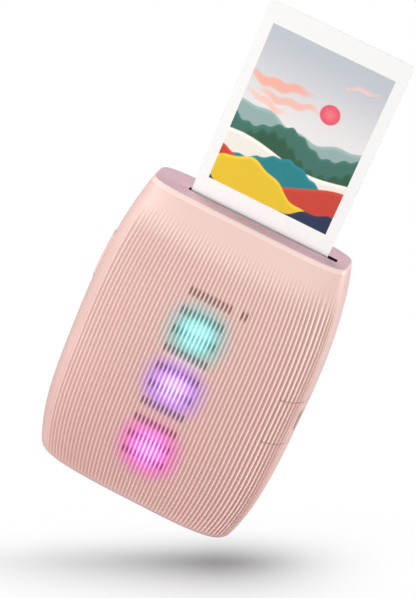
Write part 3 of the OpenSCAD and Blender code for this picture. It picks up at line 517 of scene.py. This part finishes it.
def circuitBoard(name):
    # glass-epoxy board under green solder resist: copper tracks show as paler, slightly raised bands, 0.5 mm wide
    material, tree, shader, place = newMaterial(name, Roughness=0.35, IOR=1.5)
    cells = addNode(tree, "TexBrick", {"offset": 0.4, "squash": 0.6, "squash_frequency": 3},
                    {"Vector": mapped(tree, place, Rotation=(math.pi / 2, 0, 0)), "Scale": 1 / (6 * mm),
                     "Mortar Size": 0.08, "Color1": toLinear("#1C5A42"), "Color2": toLinear("#18503A"),
                     "Mortar": toLinear("#3E8A62")})
    pads = addNode(tree, "TexVoronoi", None, {"Vector": place, "Scale": 1 / (2.5 * mm)}).outputs["Distance"]
    dots = toneRamp(tree, pads, (0.0, "#FFFFFF"), (0.12, "#FFFFFF"), (0.14, "#000000"))
    tone = blend(tree, dots, cells.outputs["Color"], toLinear("#C9CBC6"))
    dress(tree, shader, tone, None, cells.outputs["Fac"], 0.04, 0.5)
    return material


def woolFelt(name):
    # pressed felt: crossing hairs 0.2 mm thick, dull, with a faint fuzz at the edge
    material, tree, shader, place = newMaterial(name, Roughness=0.95, Sheen_Weight=0.4, Sheen_Roughness=0.5)
    hairs = noise(tree, place, 1 / (0.3 * mm), 6.0, Distortion=2.0)
    dress(tree, shader, toneRamp(tree, hairs, (0.3, "#0E0E10"), (0.75, "#34343A")), None, hairs, 0.15)
    return material


def lightSource(name, colour, strength):
    # LED die in clear resin, brighter in its middle
    material, tree, shader, place = newMaterial(name, Roughness=0.2, IOR=1.5, Emission_Strength=strength)
    tone = blend(tree, noise(tree, place, 900.0), toLinear(colour), toLinear("#FFFFFF"))
    dress(tree, shader, tone)
    tree.links.new(tone, shader.inputs["Emission Color"])
    return material


def opalAcrylic(name):
    # light guide: milky acrylic that spreads the status lights' colour
    material, tree, shader, place = newMaterial(name, Roughness=0.35, IOR=1.49, Transmission_Weight=0.4)
    dress(tree, shader, toneRamp(tree, noise(tree, place, 300.0, 3.0), (0.2, "#DDE6E8"), (0.8, "#F4F8F9")))
    return material


def opticalGlass(name):
    # the exposure head's rod lens: clear glass with a faint edge tint
    material, tree, shader, place = newMaterial(name, Roughness=0.04, IOR=1.52, Transmission_Weight=0.85)
    haze = noise(tree, place, 500.0)
    tone = toneRamp(tree, haze, (0.2, "#C4DAD6"), (0.8, "#E4F1EF"))
    dress(tree, shader, tone, spread(tree, haze, 0.02, 0.09))
    return material


def whiteCard(name):
    # coated film border: bright white polyester with a faint paper tooth under the coat
    material, tree, shader, place = newMaterial(name, Roughness=0.32, IOR=1.5, Coat_Weight=0.25, Coat_Roughness=0.2)
    tooth = noise(tree, place, 1 / (0.5 * mm), 4.0)
    dress(tree, shader, toneRamp(tree, tooth, (0.2, "#E6E6E4"), (0.8, "#EEEEEC")), None, tooth, 0.01, 0.4)
    return material


def dyeImage(name):
    # developed film: glossy dye layer under clear film, its colours kept in the piece's own attribute
    material, tree, shader, place = newMaterial(name, Roughness=0.16, IOR=1.5, Coat_Weight=0.4, Coat_Roughness=0.06)
    fleck = spread(tree, noise(tree, place, 1 / (0.35 * mm)), 0.9, 1.1)
    tone = addNode(tree, "VectorMath", {"operation": "SCALE"}, {0: stored(tree, "dyes", "Color"), "Scale": fleck})
    dress(tree, shader, tone.outputs[0])
    return material


frontSkin = ribbedSkin("ribbed_abs_painted_glow_and_shade", True)
rearSkin = ribbedSkin("ribbed_abs_painted_shade", False)
finishes = {
    "shell_plastic": mouldedPlastic("pink_moulded_abs", colours["shell"], 0.28, 0.45, 0.03, colours["shellDeep"]),
    # the top plate's mauve is the shell's pink painted darker and more mauve: painted shade on the top face
    "cap_plastic": mouldedPlastic("mauve_abs_painted_top_shade", colours["cap"], 0.25, 0.42, 0.02, "#D3ACB8"),
    "button_plastic": mouldedPlastic("rose_moulded_abs", colours["knob"], 0.22, 0.42, 0.02, "#E4B9B0"),
    "frame_plastic": mouldedPlastic("black_glass_filled_nylon", colours["frame"], 0.35, 0.5, 0.04, "#1B1B1E", 0.2),
    "steel": workedMetal("rolled_zinc_plated_steel", "#B9BCC0", 0.32, 0.4, (1, 1, 0.05)),
    "spring_steel": workedMetal("rolled_spring_steel", "#A9A7A2", 0.28, 0.3, (0.05, 1, 1)),
    "socket_steel": workedMetal("drawn_nickel_plated_steel", "#C8C6C0", 0.22, 0.3, (0.05, 1, 1)),
    "brass": workedMetal("turned_brass", "#C7A45A", 0.3, 0.25, (1, 0.08, 0.08)),
    "circuit_board": circuitBoard("green_epoxy_circuit_board"),
    "chip_plastic": mouldedPlastic("black_moulded_epoxy", "#232325", 0.15, 0.55, 0.01, "#17171A", 0.2),
    "battery_wrap": mouldedPlastic("grey_cell_pouch", "#8E9499", 1.2, 0.35, 0.06, "#767C82"),
    "light_cyan": lightSource("cyan_led_resin", "#7FF4F0", 6.0),
    "light_violet": lightSource("violet_led_resin", "#B98CFF", 6.0),
    "light_magenta": lightSource("magenta_led_resin", "#FF6FE4", 6.0),
    "diffuser": opalAcrylic("opal_acrylic"),
    "bearing_plastic": mouldedPlastic("white_acetal", "#E4E2DC", 0.3, 0.4, 0.01, "#D6D3CC"),
    "lens_glass": opticalGlass("rod_lens_glass"),
    "felt": woolFelt("black_wool_felt"),
    "pack_plastic": mouldedPlastic("black_moulded_polystyrene", "#1E1E21", 0.3, 0.42, 0.03, "#151517", 0.2),
    "film_card": whiteCard("white_coated_film"),
    "roller_rubber": mouldedPlastic("grey_silicone_rubber", "#4A4B4E", 0.4, 0.7, 0.03, "#3C3D40", 0.1),
}
for row in frame["record"]["subparts"]:
    slots = frame["nodes"][row["node"]].data.materials
    slots.clear()
    slots.append(finishes[row["material_slot"]])
print("materials made:", len(bpy.data.materials))

# painted light of the status lights on the front

# each light's ridge and groove tones are its painted light on crests and in grooves, the grooves deeper as painted
# shade; its core tones are the brighter painted light in its middle
lights = [dict(x=0.2, z=81.8, wide=12.2, tall=12.0, coreWide=6.8, coreTall=6.8, ridge="#B2D6D2", groove="#338A89",
               core="#DCF6F4", coreGroove="#4DC0BF"),
          dict(x=0.0, z=58.6, wide=12.2, tall=11.8, coreWide=7.0, coreTall=6.8, ridge="#D4AED8", groove="#8546B8",
               core="#F5ECF9", coreGroove="#B472DA"),
          dict(x=0.5, z=29.4, wide=12.6, tall=13.6, coreWide=7.6, coreTall=9.2, ridge="#E68FCB", groove="#C02A95",
               core="#FBE0F8", coreGroove="#D23CC2")]
# edge and core are the shares of a light's size between which its blot and its middle fade
blots = dict(edge=(0.4, 1.3), edgePower=2.4, core=(0.2, 1.35), corePower=2.2, slitDim=0.4, coreLift=0.2,
             slitGlow=0.15, glow=0.3, coreGlow=0.25, paintedLightTint=0.92)


def lightMarks(p, marks):
    # Each light is a soft blot of painted light: one less the smooth step of its elliptical distance from the light's
    # middle.
    # The tint is its colour painted over the plastic's own, paler on crests and deeper in grooves as painted
    # highlight and shade, and the glow is the share that the surface gives off itself, a painted glow.
    z, ribShade, slit = p[..., 2], marks["ribShade"], marks["slit"]
    x = p[..., 0] / widthAt(z) * body["halfWidth"]
    paintedLightTint = np.zeros(z.shape + (3,))
    glow = np.zeros_like(paintedLightTint)
    share = np.zeros_like(z)
    for light in lights:
        dx, dz = np.abs(x - light["x"]), np.abs(z - light["z"])
        n, m = blots["edgePower"], blots["corePower"]
        far = ((dx / light["wide"]) ** n + (dz / light["tall"]) ** n) ** (1 / n)
        near = ((dx / light["coreWide"]) ** m + (dz / light["coreTall"]) ** m) ** (1 / m)
        blot = 1 - smoothStep(*blots["edge"], far)
        core = 1 - smoothStep(*blots["core"], near)
        ridge, groove, top, low = (toneOf(light[k]) for k in ("ridge", "groove", "core", "coreGroove"))
        shade = np.clip(ribShade, 0, 1)[..., None]
        middle = core[..., None]
        colour = (groove + (ridge - groove) * shade) * (1 - middle) + (low + (top - low) * shade) * middle
        # slits shine less than the thin wall beside them
        colour = colour * (1 - slit * (blots["slitDim"] - blots["coreLift"] * core))[..., None]
        paintedLightTint += colour * blot[..., None]
        share = np.maximum(share, blot)
        dim = 1 - slit * blots["slitGlow"]
        glow += colour * (blot * dim * (blots["glow"] + blots["coreGlow"] * core))[..., None]
    paintedLightTint = paintedLightTint / np.maximum(share, 1e-6)[..., None]
    return dict(marks, paintedLightTint=paintedLightTint * (share > 0)[..., None], share=share * blots["paintedLightTint"], glow=glow)


# covers

door = dict(half=37.0, low=8.0, top=108.0, corner=5.0, gap=0.25, troughLow=5.45, axisY=12.886, knuckle=2.0)
panel = dict(x=36.8, beyond=60.0, low=52.8, top=72.0, gap=0.28)
port = dict(y=-4.67, z=62.8, halfLong=4.67, halfThick=1.83)
button = dict(y=-5.0, z=88.7, half=3.0, tall=9.4, gap=0.2, out=0.38, corner=1.0, patchRows=(76, 101, 51),
              patchColumns=44)
latch = dict(left=-6.3, right=6.3, low=110.5, top=113.8, corner=0.3)
screws = dict(spots=((30.0, 5.1), (35.8, 112.0)), radius=1.8)
sliver = 0.01  # of straight edge left between the quarters of a round opening



def buttonOutline(grow):
    return roundedBox(button["y"] - button["half"] - grow, button["y"] + button["half"] + grow,
                      button["z"] - button["tall"] - grow, button["z"] + button["tall"] + grow,
                      [button["corner"] + grow] * 4)


def panelOutline(gap):
    return roundedBox(panel["x"] + gap / 6, panel["beyond"], panel["low"] + gap, panel["top"] - gap, (0, 0, 0, 0))


frontPoints, frontMarks = ribSurface(False)
frontMarks = lightMarks(frontPoints, frontMarks)
rearPoints, rearMarks = ribSurface(True)
print("ribbed halves:", frontPoints.shape[:2], rearPoints.shape[:2])

skirts = dict(front=1.4, rear=0.85)
cores = dict(front=1.3, rear=0.75, near=0.55, foot=0.01, knuckle=0.02)
coverSkin = skinPiece("front_cover_skin", frontPoints, frontMarks, frontSkin,
                      [(panelOutline(0), fromFront, False), (buttonOutline(button["gap"]), fromLeft, False)],
                      False, skirts["front"])
portCut = roundedBox(port["y"] - port["halfThick"], port["y"] + port["halfThick"], port["z"] - port["halfLong"],
                     port["z"] + port["halfLong"], [port["halfThick"] - sliver] * 4)
panelSkin = skinPiece("port_panel_skin", frontPoints, frontMarks, frontSkin,
                      [(panelOutline(panel["gap"]), fromFront, True), (portCut, fromRight, False)],
                      False, skirts["front"])
backCuts = [(roundedBox(-door["half"] - door["gap"], door["half"] + door["gap"], door["troughLow"],
                        door["top"] + door["gap"], (0, 0, door["corner"], door["corner"])), fromBehind, False),
            (roundedBox(latch["left"], latch["right"], latch["low"], latch["top"], [latch["corner"]] * 4),
             fromBehind, False)]
for x, z in screws["spots"]:
    for side in (-1, 1):
        r = screws["radius"]
        backCuts.append((roundedBox(side * x - r, side * x + r, z - r, z + r, [r - sliver] * 4), fromBehind, False))
backSkin = skinPiece("rear_cover_skin", rearPoints, rearMarks, rearSkin, backCuts, True, skirts["rear"])
doorCut = roundedBox(-door["half"], door["half"], door["low"], door["top"], (0, 0, door["corner"], door["corner"]))
doorSkin = skinPiece("film_door_skin", rearPoints, rearMarks, rearSkin, [(doorCut, fromBehind, True)],
                     True, skirts["rear"])

buttonPatch = halfShell(False, np.linspace(*button["patchRows"]), body["partY"])[0]
buttonPatch = buttonPatch + gridNormals(buttonPatch) * button["out"]
buttonSkin = skinPiece("power_button_cap", buttonPatch[:, :button["patchColumns"]], {}, finishes["button_plastic"],
                       [(buttonOutline(0), fromLeft, True)], False, skirts["rear"])

for skin, node, carrier, slotName, inset in (
        (coverSkin, "front_cover", "housing", "shell_plastic", cores["front"]),
        (panelSkin, "port_panel", "housing", "shell_plastic", cores["front"]),
        (backSkin, "rear_cover", "housing", "shell_plastic", cores["rear"]),
        (doorSkin, "film_door", "door", "shell_plastic", cores["rear"]),
        (buttonSkin, "power_button", "button", "button_plastic", cores["rear"])):
    core = innerCopy(node + "_inner", node, finishes[slotName], inset)
    for piece in (skin, core):
        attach(piece, carrier)
        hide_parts(node)
print("covers made")

# top cap

cap = dict(edge=0.45, flat=0.96, slotX=4.2, slotY=-1.4, slotHalf=29.3, slotThick=1.2, corner=0.4, lip=0.1,
           liner=0.2, rimDeep=0.6, hair=0.01, linerDown=0.05, sidePoints=60, cornerPoints=8)


def capAngles():
    # angles round the cap: even steps of x along each long side, then even steps of angle round each end
    u = np.linspace(cap["flat"], -cap["flat"], cap["sidePoints"])
    side = np.arccos(np.sign(u) * np.abs(u) ** (square["top"] / 2))
    ends = 3 * cap["cornerPoints"] + 2
    leftEnd = np.linspace(side[-1], 2 * np.pi - side[-1], ends)[1:-1]
    rightEnd = np.linspace(-side[0], side[0], ends)[1:-1]
    return np.concatenate([side, leftEnd, 2 * np.pi - side[::-1], rightEnd])


def capRing(z, inset):
    angle = capAngles()
    return sectionPoints(angle, np.full_like(angle, z), inset + body["sunk"])


def slotRing(z, grow):
    # the slot's rounded box, its points in the same order as the cap's angles
    half, thick, r = cap["slotHalf"] + grow, cap["slotThick"] + grow, cap["corner"] + max(grow, 0)
    count = cap["cornerPoints"]
    straight = np.linspace(half - r, r - half, cap["sidePoints"])
    turn = np.linspace(np.pi / 2, np.pi, count + 1)[1:]
    rise = np.linspace(thick - r, r - thick, count + 2)[1:-1]
    cornerA = np.stack([r - half + r * np.cos(turn), thick - r + r * np.sin(turn)], -1)
    cornerB = np.stack([cornerA[::-1, 0], -cornerA[::-1, 1]], -1)
    end = np.concatenate([cornerA, np.stack([np.full(count, -half), rise], -1), cornerB])
    side = np.stack([straight, np.full(len(straight), thick)], -1)
    outline = np.concatenate([side, end, side[::-1] * (1, -1), -end])
    return np.column_stack([outline[:, 0] + cap["slotX"], outline[:, 1] + cap["slotY"], np.full(len(outline), z)])


def ringPiece(name, rings, slotName):
    # closed rings joined in order, the last to the first
    points = np.stack(list(rings) + [rings[0]])
    rows, sides = points.shape[:2]
    faces = gridFaces(rows, sides, True) % ((rows - 1) * sides)
    piece = meshPiece(name, points[:-1].reshape(-1, 3), faces, finishes[slotName], 35)
    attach(piece, "housing")
    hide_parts("top_cap")


low, high, edge = body["capJoint"] + body["jointGap"], body["height"], cap["edge"]
roundings = [capRing(high - edge * (1 - math.sin(a)), edge * (1 - math.cos(a)))
             for a in np.radians(range(0, 91, 15))]
hair, linerTop = cap["hair"], high - cap["lip"] - cap["linerDown"]
ringPiece("top_rim", [capRing(low, 0)] + roundings
          + [capRing(high - cap["rimDeep"], edge + hair), capRing(low, edge + hair)],
          "shell_plastic")
rim, mouth = capRing(high, edge + 2 * hair), slotRing(high, cap["lip"])
lips = [slotRing(high - cap["lip"] * (1 - math.cos(a)), cap["lip"] * (1 - math.sin(a)) + 2 * hair)
        for a in np.radians(range(30, 91, 30))]
between = [rim + (mouth - rim) * t for t in (0.3, 0.7)]
# the top face takes the cap's mauve, painted shade, while the rim below stays pink
ringPiece("top_cap_plate", [capRing(low, edge + 2 * hair), rim] + between + [mouth] + lips
          + [slotRing(linerTop, cap["liner"] + 2 * hair), slotRing(low, cap["liner"] + 2 * hair)],
          "cap_plastic")
ringPiece("slot_throat", [slotRing(low, cap["liner"]), slotRing(linerTop - hair, cap["liner"]),
                          slotRing(linerTop - hair, 0.0), slotRing(low, 0.0)], "frame_plastic")

# film sheet and its picture

film = dict(x=2.8, low=115.4, wide=54.0, tall=86.0, front=-1.63, back=-1.17, corner=1.6, bevel=0.08)
# out and into are how far the picture and the backing stand out of the card and reach into it
photo = dict(wide=46.0, tall=61.7, low=132.2, grid=0.25, out=0.018, into=0.05)
backing = dict(half=23.6, low=126.0, top=195.0, out=0.05, into=0.02)


def cardBlank():
    # a rounded sheet: the outline on four rings, drawn in a little on both faces, each face one flat polygon
    half, bevel = film["wide"] / 2, film["bevel"]
    points = []
    for y, inset in ((film["front"], bevel), (film["front"] + bevel, 0.0), (film["back"] - bevel, 0.0),
                     (film["back"], bevel)):
        ring = roundedBox(film["x"] - half + inset, film["x"] + half - inset, film["low"] + inset,
                          film["low"] + film["tall"] - inset, [film["corner"]] * 4, 8)
        points += [(a, y, b) for a, b in ring]
    count = len(points) // 4
    faces = [f[1:] + f[:1] for f in gridFaces(4, count, True).tolist()]
    return points, [list(range(count))] + faces + [list(range(3 * count, 4 * count))[::-1]]


# a made-up evening landscape, in shares of the picture's width and height. A cloud is its middle, half its size and
# its tone. A layer is its tone, the level of its skyline, the waves on it as amount, count and start, and the depth
# and count of its furrows. The sun's edges are in millimetres
view = dict(
    sky=("#B9BEC6", "#E3E0DF"), skyFade=(1.0, 0.45),
    clouds=((0.22, 0.70, 0.30, 0.040, "#F0A894"), (0.34, 0.63, 0.28, 0.030, "#EFB6A4"),
            (0.18, 0.57, 0.20, 0.026, "#F4C2B2"), (0.80, 0.86, 0.16, 0.016, "#E9C4BC")),
    cloudEdge=(0.55, 1.05), cloudShare=0.9,
    sun=(0.66, 0.66), discs=(("#E5566A", (3.5, 3.8), 1.0), ("#F08A90", (0.4, 3.2), 0.55)),
    layers=(("#8FA9A6", 0.50, ((0.030, 1.1, 0.10), (0.010, 3.7, 0.3)), 0.0, 1),
            ("#3F6F63", 0.45, ((0.040, 1.6, 0.55), (0.008, 9.0, 0.2)), 0.10, 60),
            ("#2E5A43", 0.36, ((0.060, 1.3, 0.80), (0.012, 11.0, 0.6)), 0.16, 90),
            ("#E9E4DA", 0.31, ((0.030, 0.9, 0.15),), 0.03, 30),
            ("#1F7F86", 0.26, ((0.050, 1.2, 0.62), (0.006, 8.0, 0.1)), 0.10, 46),
            ("#C7402F", 0.20, ((0.070, 0.8, 0.42),), 0.10, 38),
            ("#E3BE2B", 0.14, ((0.080, 0.9, 0.02), (0.010, 4.0, 0.2)), 0.08, 55),
            ("#23304F", 0.02, ((0.080, 0.75, 0.50), (0.010, 5.0, 0.4)), 0.10, 40)),
    skyline=0.003, rim=(0.03, 0.25))


def pictureColours(x, z):
    # each layer's skyline is a level plus sine waves, and a smooth step a third of a millimetre wide fills everything
    # below it; later layers lie in front
    def over(below, above, share):
        return below + (above - below) * share[..., None]

    high, low = (toneOf(tone) for tone in view["sky"])
    colour = over(high, low, smoothStep(*view["skyFade"], z))
    # streaked cloud: long soft bands, their edges drawn out by sine waves
    for cx, cz, wide, tall, tone in view["clouds"]:
        wander = 0.02 * np.sin(9 * x + 14 * cz) + 0.008 * np.sin(37 * x + 5 * cx)
        reach = np.hypot((x - cx) / wide, (z - cz - wander) / tall)
        share = (1 - smoothStep(*view["cloudEdge"], reach)) * view["cloudShare"]
        colour = over(colour, toneOf(tone), share)
    # low sun with a paler middle
    reach = np.hypot((x - view["sun"][0]) * photo["wide"], (z - view["sun"][1]) * photo["tall"])
    for tone, edges, share in view["discs"]:
        colour = over(colour, toneOf(tone), (1 - smoothStep(*edges, reach)) * share)
    for tone, level, waves, depth, furrows in view["layers"]:
        skyline = level + sum(amount * np.sin(2 * np.pi * (count * x + start)) for amount, count, start in waves)
        below = smoothStep(view["skyline"], -view["skyline"], z - skyline)
        wander = furrows * (skyline - z) * (1 + 6 * (skyline - z)) * 6 + 7 * np.sin(5 * x)
        rows = 1 - depth * (0.5 + 0.5 * np.sin(wander))
        rim = 1 + view["rim"][1] * smoothStep(view["rim"][0], 0.0, skyline - z)
        colour = over(colour, toneOf(tone) * (rows * rim)[..., None], below)
    return np.clip(colour, 0, 1)


def pictureSheet():
    # a flat grid, its outer ring turned back into the card; colours are stored at its points
    x = np.arange(0, photo["wide"] + 0.01, photo["grid"])
    z = np.arange(0, photo["tall"] + 0.01, photo["tall"] / round(photo["tall"] / photo["grid"]))
    x, z = np.concatenate([[x[0]], x, [x[-1]]]), np.concatenate([[z[0]], z, [z[-1]]])
    zz, xx = np.meshgrid(z, x, indexing="ij")
    y = np.full_like(xx, film["front"] - photo["out"])
    y[0], y[-1], y[:, 0], y[:, -1] = (film["front"] + photo["into"],) * 4
    points = np.stack([xx + film["x"] - photo["wide"] / 2, y, zz + photo["low"]], -1)
    return points, pictureColours(xx / photo["wide"], zz / photo["tall"])


cardPoints, cardFaces = cardBlank()
card = meshPiece("film_sheet_card", cardPoints, cardFaces, finishes["film_card"], 60)
picturePoints, pictureTones = pictureSheet()
picture = meshPiece("film_sheet_picture", picturePoints.reshape(-1, 3), gridFaces(*picturePoints.shape[:2]),
                    dyeImage("developed_film_dyes"), 60)
storeMarks(picture.data, dict(dyes=pictureTones))
backCorners = roundedBox(film["x"] - backing["half"], film["x"] + backing["half"], backing["low"], backing["top"],
                         (0, 0, 0, 0))
backPoints = [(x, y, z) for y in (film["back"] + backing["into"], film["back"] - backing["out"])
              for x, z in backCorners]
filmBack = meshPiece("film_sheet_back", backPoints,
                     [[3, 2, 1, 0]] + [[i, (i + 1) % 4, (i + 1) % 4 + 4, i + 4] for i in range(4)] + [[4, 5, 6, 7]],
                     mouldedPlastic("black_film_backing", "#1C1C1F", 0.5, 0.6, 0.01, "#151517", 0.1), 40)
for piece in (card, picture, filmBack):
    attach(piece, "print")
    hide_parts("instant_print")
print("film sheet made")

# camera

# directions turned by azimuth, elevation and roll; the place follows from the offsets along them, in millimetres
shot = dict(azimuth=6.85, elevation=27.08, roll=23.53, focal=1901.0, across=-25.85, up=-74.49, away=730.39,
            shift=2.77, imageHeight=598, sensor=36, near=0.05, far=20)
az, el, roll = (math.radians(shot[k]) for k in ("azimuth", "elevation", "roll"))
forward = Vector((-math.sin(az) * math.cos(el), math.cos(az) * math.cos(el), -math.sin(el)))
level = Vector((math.cos(az), math.sin(az), 0))
upright = level.cross(forward)
right = math.cos(roll) * level + math.sin(roll) * upright
upward = -math.sin(roll) * level + math.cos(roll) * upright
eye = -(right * shot["across"] + upward * shot["up"] + forward * shot["away"]) + Vector((shot["shift"], 0, 0))
cameraData = bpy.data.cameras.new("camera")
cameraData.sensor_fit, cameraData.sensor_width = "AUTO", shot["sensor"]
cameraData.lens = shot["focal"] * shot["sensor"] / shot["imageHeight"]
cameraData.clip_start, cameraData.clip_end = shot["near"], shot["far"]
camera = addThing("camera", cameraData)
turn = Matrix((right, upward, -forward)).transposed().to_4x4()
camera.matrix_world = Matrix.Translation(eye * mm) @ turn
scene.camera = camera

# floor

# own and rest are the light the paper gives off in the open and under the object, where the drop is a painted shadow;
# left to before are the size and power of the painted shadow's fall on each side of its middle
floor = dict(tilt=9.0, below=12.4, middle=(-8.0, 6.0), wide=92.0, deep=60.0, reach=1.6, middlePart=0.75, rings=40,
             sides=96, paper=0.15, own=0.86, rest=0.235, shade=(-3.0, 7.5), left=(60.0, 1.25), right=(36.0, 2.1),
             behind=(26.0, 1.9), before=(28.0, 1.5))

tilt = math.radians(floor["tilt"])
normal = (upward * math.cos(tilt) - forward * math.sin(tilt)).normalized()
floorDeep = right.cross(normal) * -1
angles = np.linspace(0, 2 * np.pi, 180, endpoint=False)
outerPoints = np.concatenate([sectionPoints(angles, np.full_like(angles, z))
                              for z in np.linspace(0, body["height"], 60)])
drops = outerPoints @ np.array(normal)
lowest = outerPoints[drops.argmin()]
print("lowest point over the floor:", np.round(lowest, 1))


def floorSheet():
    # a flat disc of rings; spot is 1 in the middle and falls smoothly to 0 at the rim. The painted shadow under the
    # object is
    # 1 under its middle, falling as e to the minus distance over size, each to a power, summed
    radius = np.linspace(0.001, floor["reach"], floor["rings"])
    t = np.linspace(0, 2 * np.pi, floor["sides"], endpoint=False)
    a = radius[:, None] * np.cos(t) * floor["wide"] + floor["middle"][0]
    b = radius[:, None] * np.sin(t) * floor["deep"] + floor["middle"][1]
    base = Vector(lowest) - normal * floor["below"]
    points = np.array(base) + a[..., None] * np.array(right) + b[..., None] * np.array(floorDeep)
    spot = np.repeat(1 - smoothStep(floor["middlePart"], floor["reach"], radius)[:, None], len(t), 1)
    da, db = a - floor["shade"][0], b - floor["shade"][1]
    sizeA, powerA = (np.where(da < 0, floor["left"][i], floor["right"][i]) for i in (0, 1))
    sizeB, powerB = (np.where(db < 0, floor["before"][i], floor["behind"][i]) for i in (0, 1))
    paintedShadow = np.exp(-np.abs(da / sizeA) ** powerA - np.abs(db / sizeB) ** powerB)
    return points, spot, paintedShadow


floorMaterial = bpy.data.materials.new("white_paper_sweep")
floorMaterial.use_nodes = True
tree = floorMaterial.node_tree
tree.nodes.clear()
facing = calculate(tree, "SUBTRACT", 1.0, addNode(tree, "NewGeometry").outputs["Backfacing"])
share = calculate(tree, "MULTIPLY", stored(tree, "spot"), facing)
tooth = noise(tree, addNode(tree, "TexCoord").outputs["Object"], 900.0)
paperTone = spread(tree, tooth, floor["paper"] - 0.01, floor["paper"] + 0.01)
paper = addNode(tree, "BsdfDiffuse", None, {"Color": paperTone})
# painted shadow: the paper's own light falls from own to rest under the object
ownStrength = spread(tree, stored(tree, "paintedShadow"), floor["own"], floor["rest"])
ownLight = addNode(tree, "Emission", None, {"Color": (1, 1, 1, 1), "Strength": ownStrength})
lit = addNode(tree, "AddShader", None, {0: paper.outputs[0], 1: ownLight.outputs[0]})
clear = addNode(tree, "BsdfTransparent")
mixed = addNode(tree, "MixShader", None, {0: share, 1: clear.outputs[0], 2: lit.outputs[0]})
addNode(tree, "OutputMaterial", None, {"Surface": mixed.outputs[0]})

floorPoints, floorSpot, floorPaintedShadow = floorSheet()
floorPiece = meshPiece("floor", floorPoints.reshape(-1, 3),
                       gridFaces(floor["rings"], floor["sides"], True)[:, ::-1], floorMaterial)
storeMarks(floorPiece.data, dict(spot=floorSpot, paintedShadow=floorPaintedShadow))
floorPiece.visible_shadow = floorPiece.visible_diffuse = floorPiece.visible_glossy = False

# light

lamps = [dict(name="key", place=(-0.57, 0.05, -0.43), size=0.26, power=2.8, tone="#FFFDFC"),
         dict(name="above", place=(0.02, 0.60, -0.06), size=0.30, power=1.3, tone="#FFFFFF"),
         dict(name="side", place=(0.60, -0.08, -0.02), size=0.24, power=2.4, tone="#FFFDFE"),
         dict(name="front", place=(0.02, -0.20, -0.80), size=0.50, power=2.5, tone="#FFFCFC")]
target = Vector((0.002, 0.0, 0.075))  # the lamps face this point
for lamp in lamps:
    data = bpy.data.lights.new(lamp["name"], "AREA")
    data.shape, data.size, data.energy = "DISK", lamp["size"], lamp["power"]
    data.color = toLinear(lamp["tone"])[:3]
    thing = addThing(lamp["name"], data)
    # places are across, up and away in the camera's own directions, so that the light falls as in the picture
    a, b, c = lamp["place"]
    thing.location = target + right * a + upward * b + forward * c
    thing.rotation_mode = "QUATERNION"
    thing.rotation_quaternion = (target - thing.location).to_track_quat("-Z", "Y")

ambience = dict(below=0.41, above=0.51, reach=0.8)
world = bpy.data.worlds.new("white_studio")
scene.world = world
world.use_nodes = True
tree = world.node_tree
tree.nodes.clear()
path = addNode(tree, "LightPath")
seen = calculate(tree, "ADD", path.outputs["Is Camera Ray"], path.outputs["Is Transmission Ray"], clamp=True)
# seen white all round, but lighting the object less from below than from above
skyWay = addNode(tree, "VectorMath", {"operation": "DOT_PRODUCT"},
                 {0: addNode(tree, "TexCoord").outputs["Generated"], 1: tuple(upward)}).outputs["Value"]
ambient = spread(tree, skyWay, ambience["below"], ambience["above"], -ambience["reach"], ambience["reach"])
sky = addNode(tree, "Background", None, {"Color": (1, 1, 1, 1), "Strength": spread(tree, seen, ambient, 1.0)})
addNode(tree, "OutputWorld", None, {"Surface": sky.outputs[0]})

scene.view_settings.view_transform = "Standard"
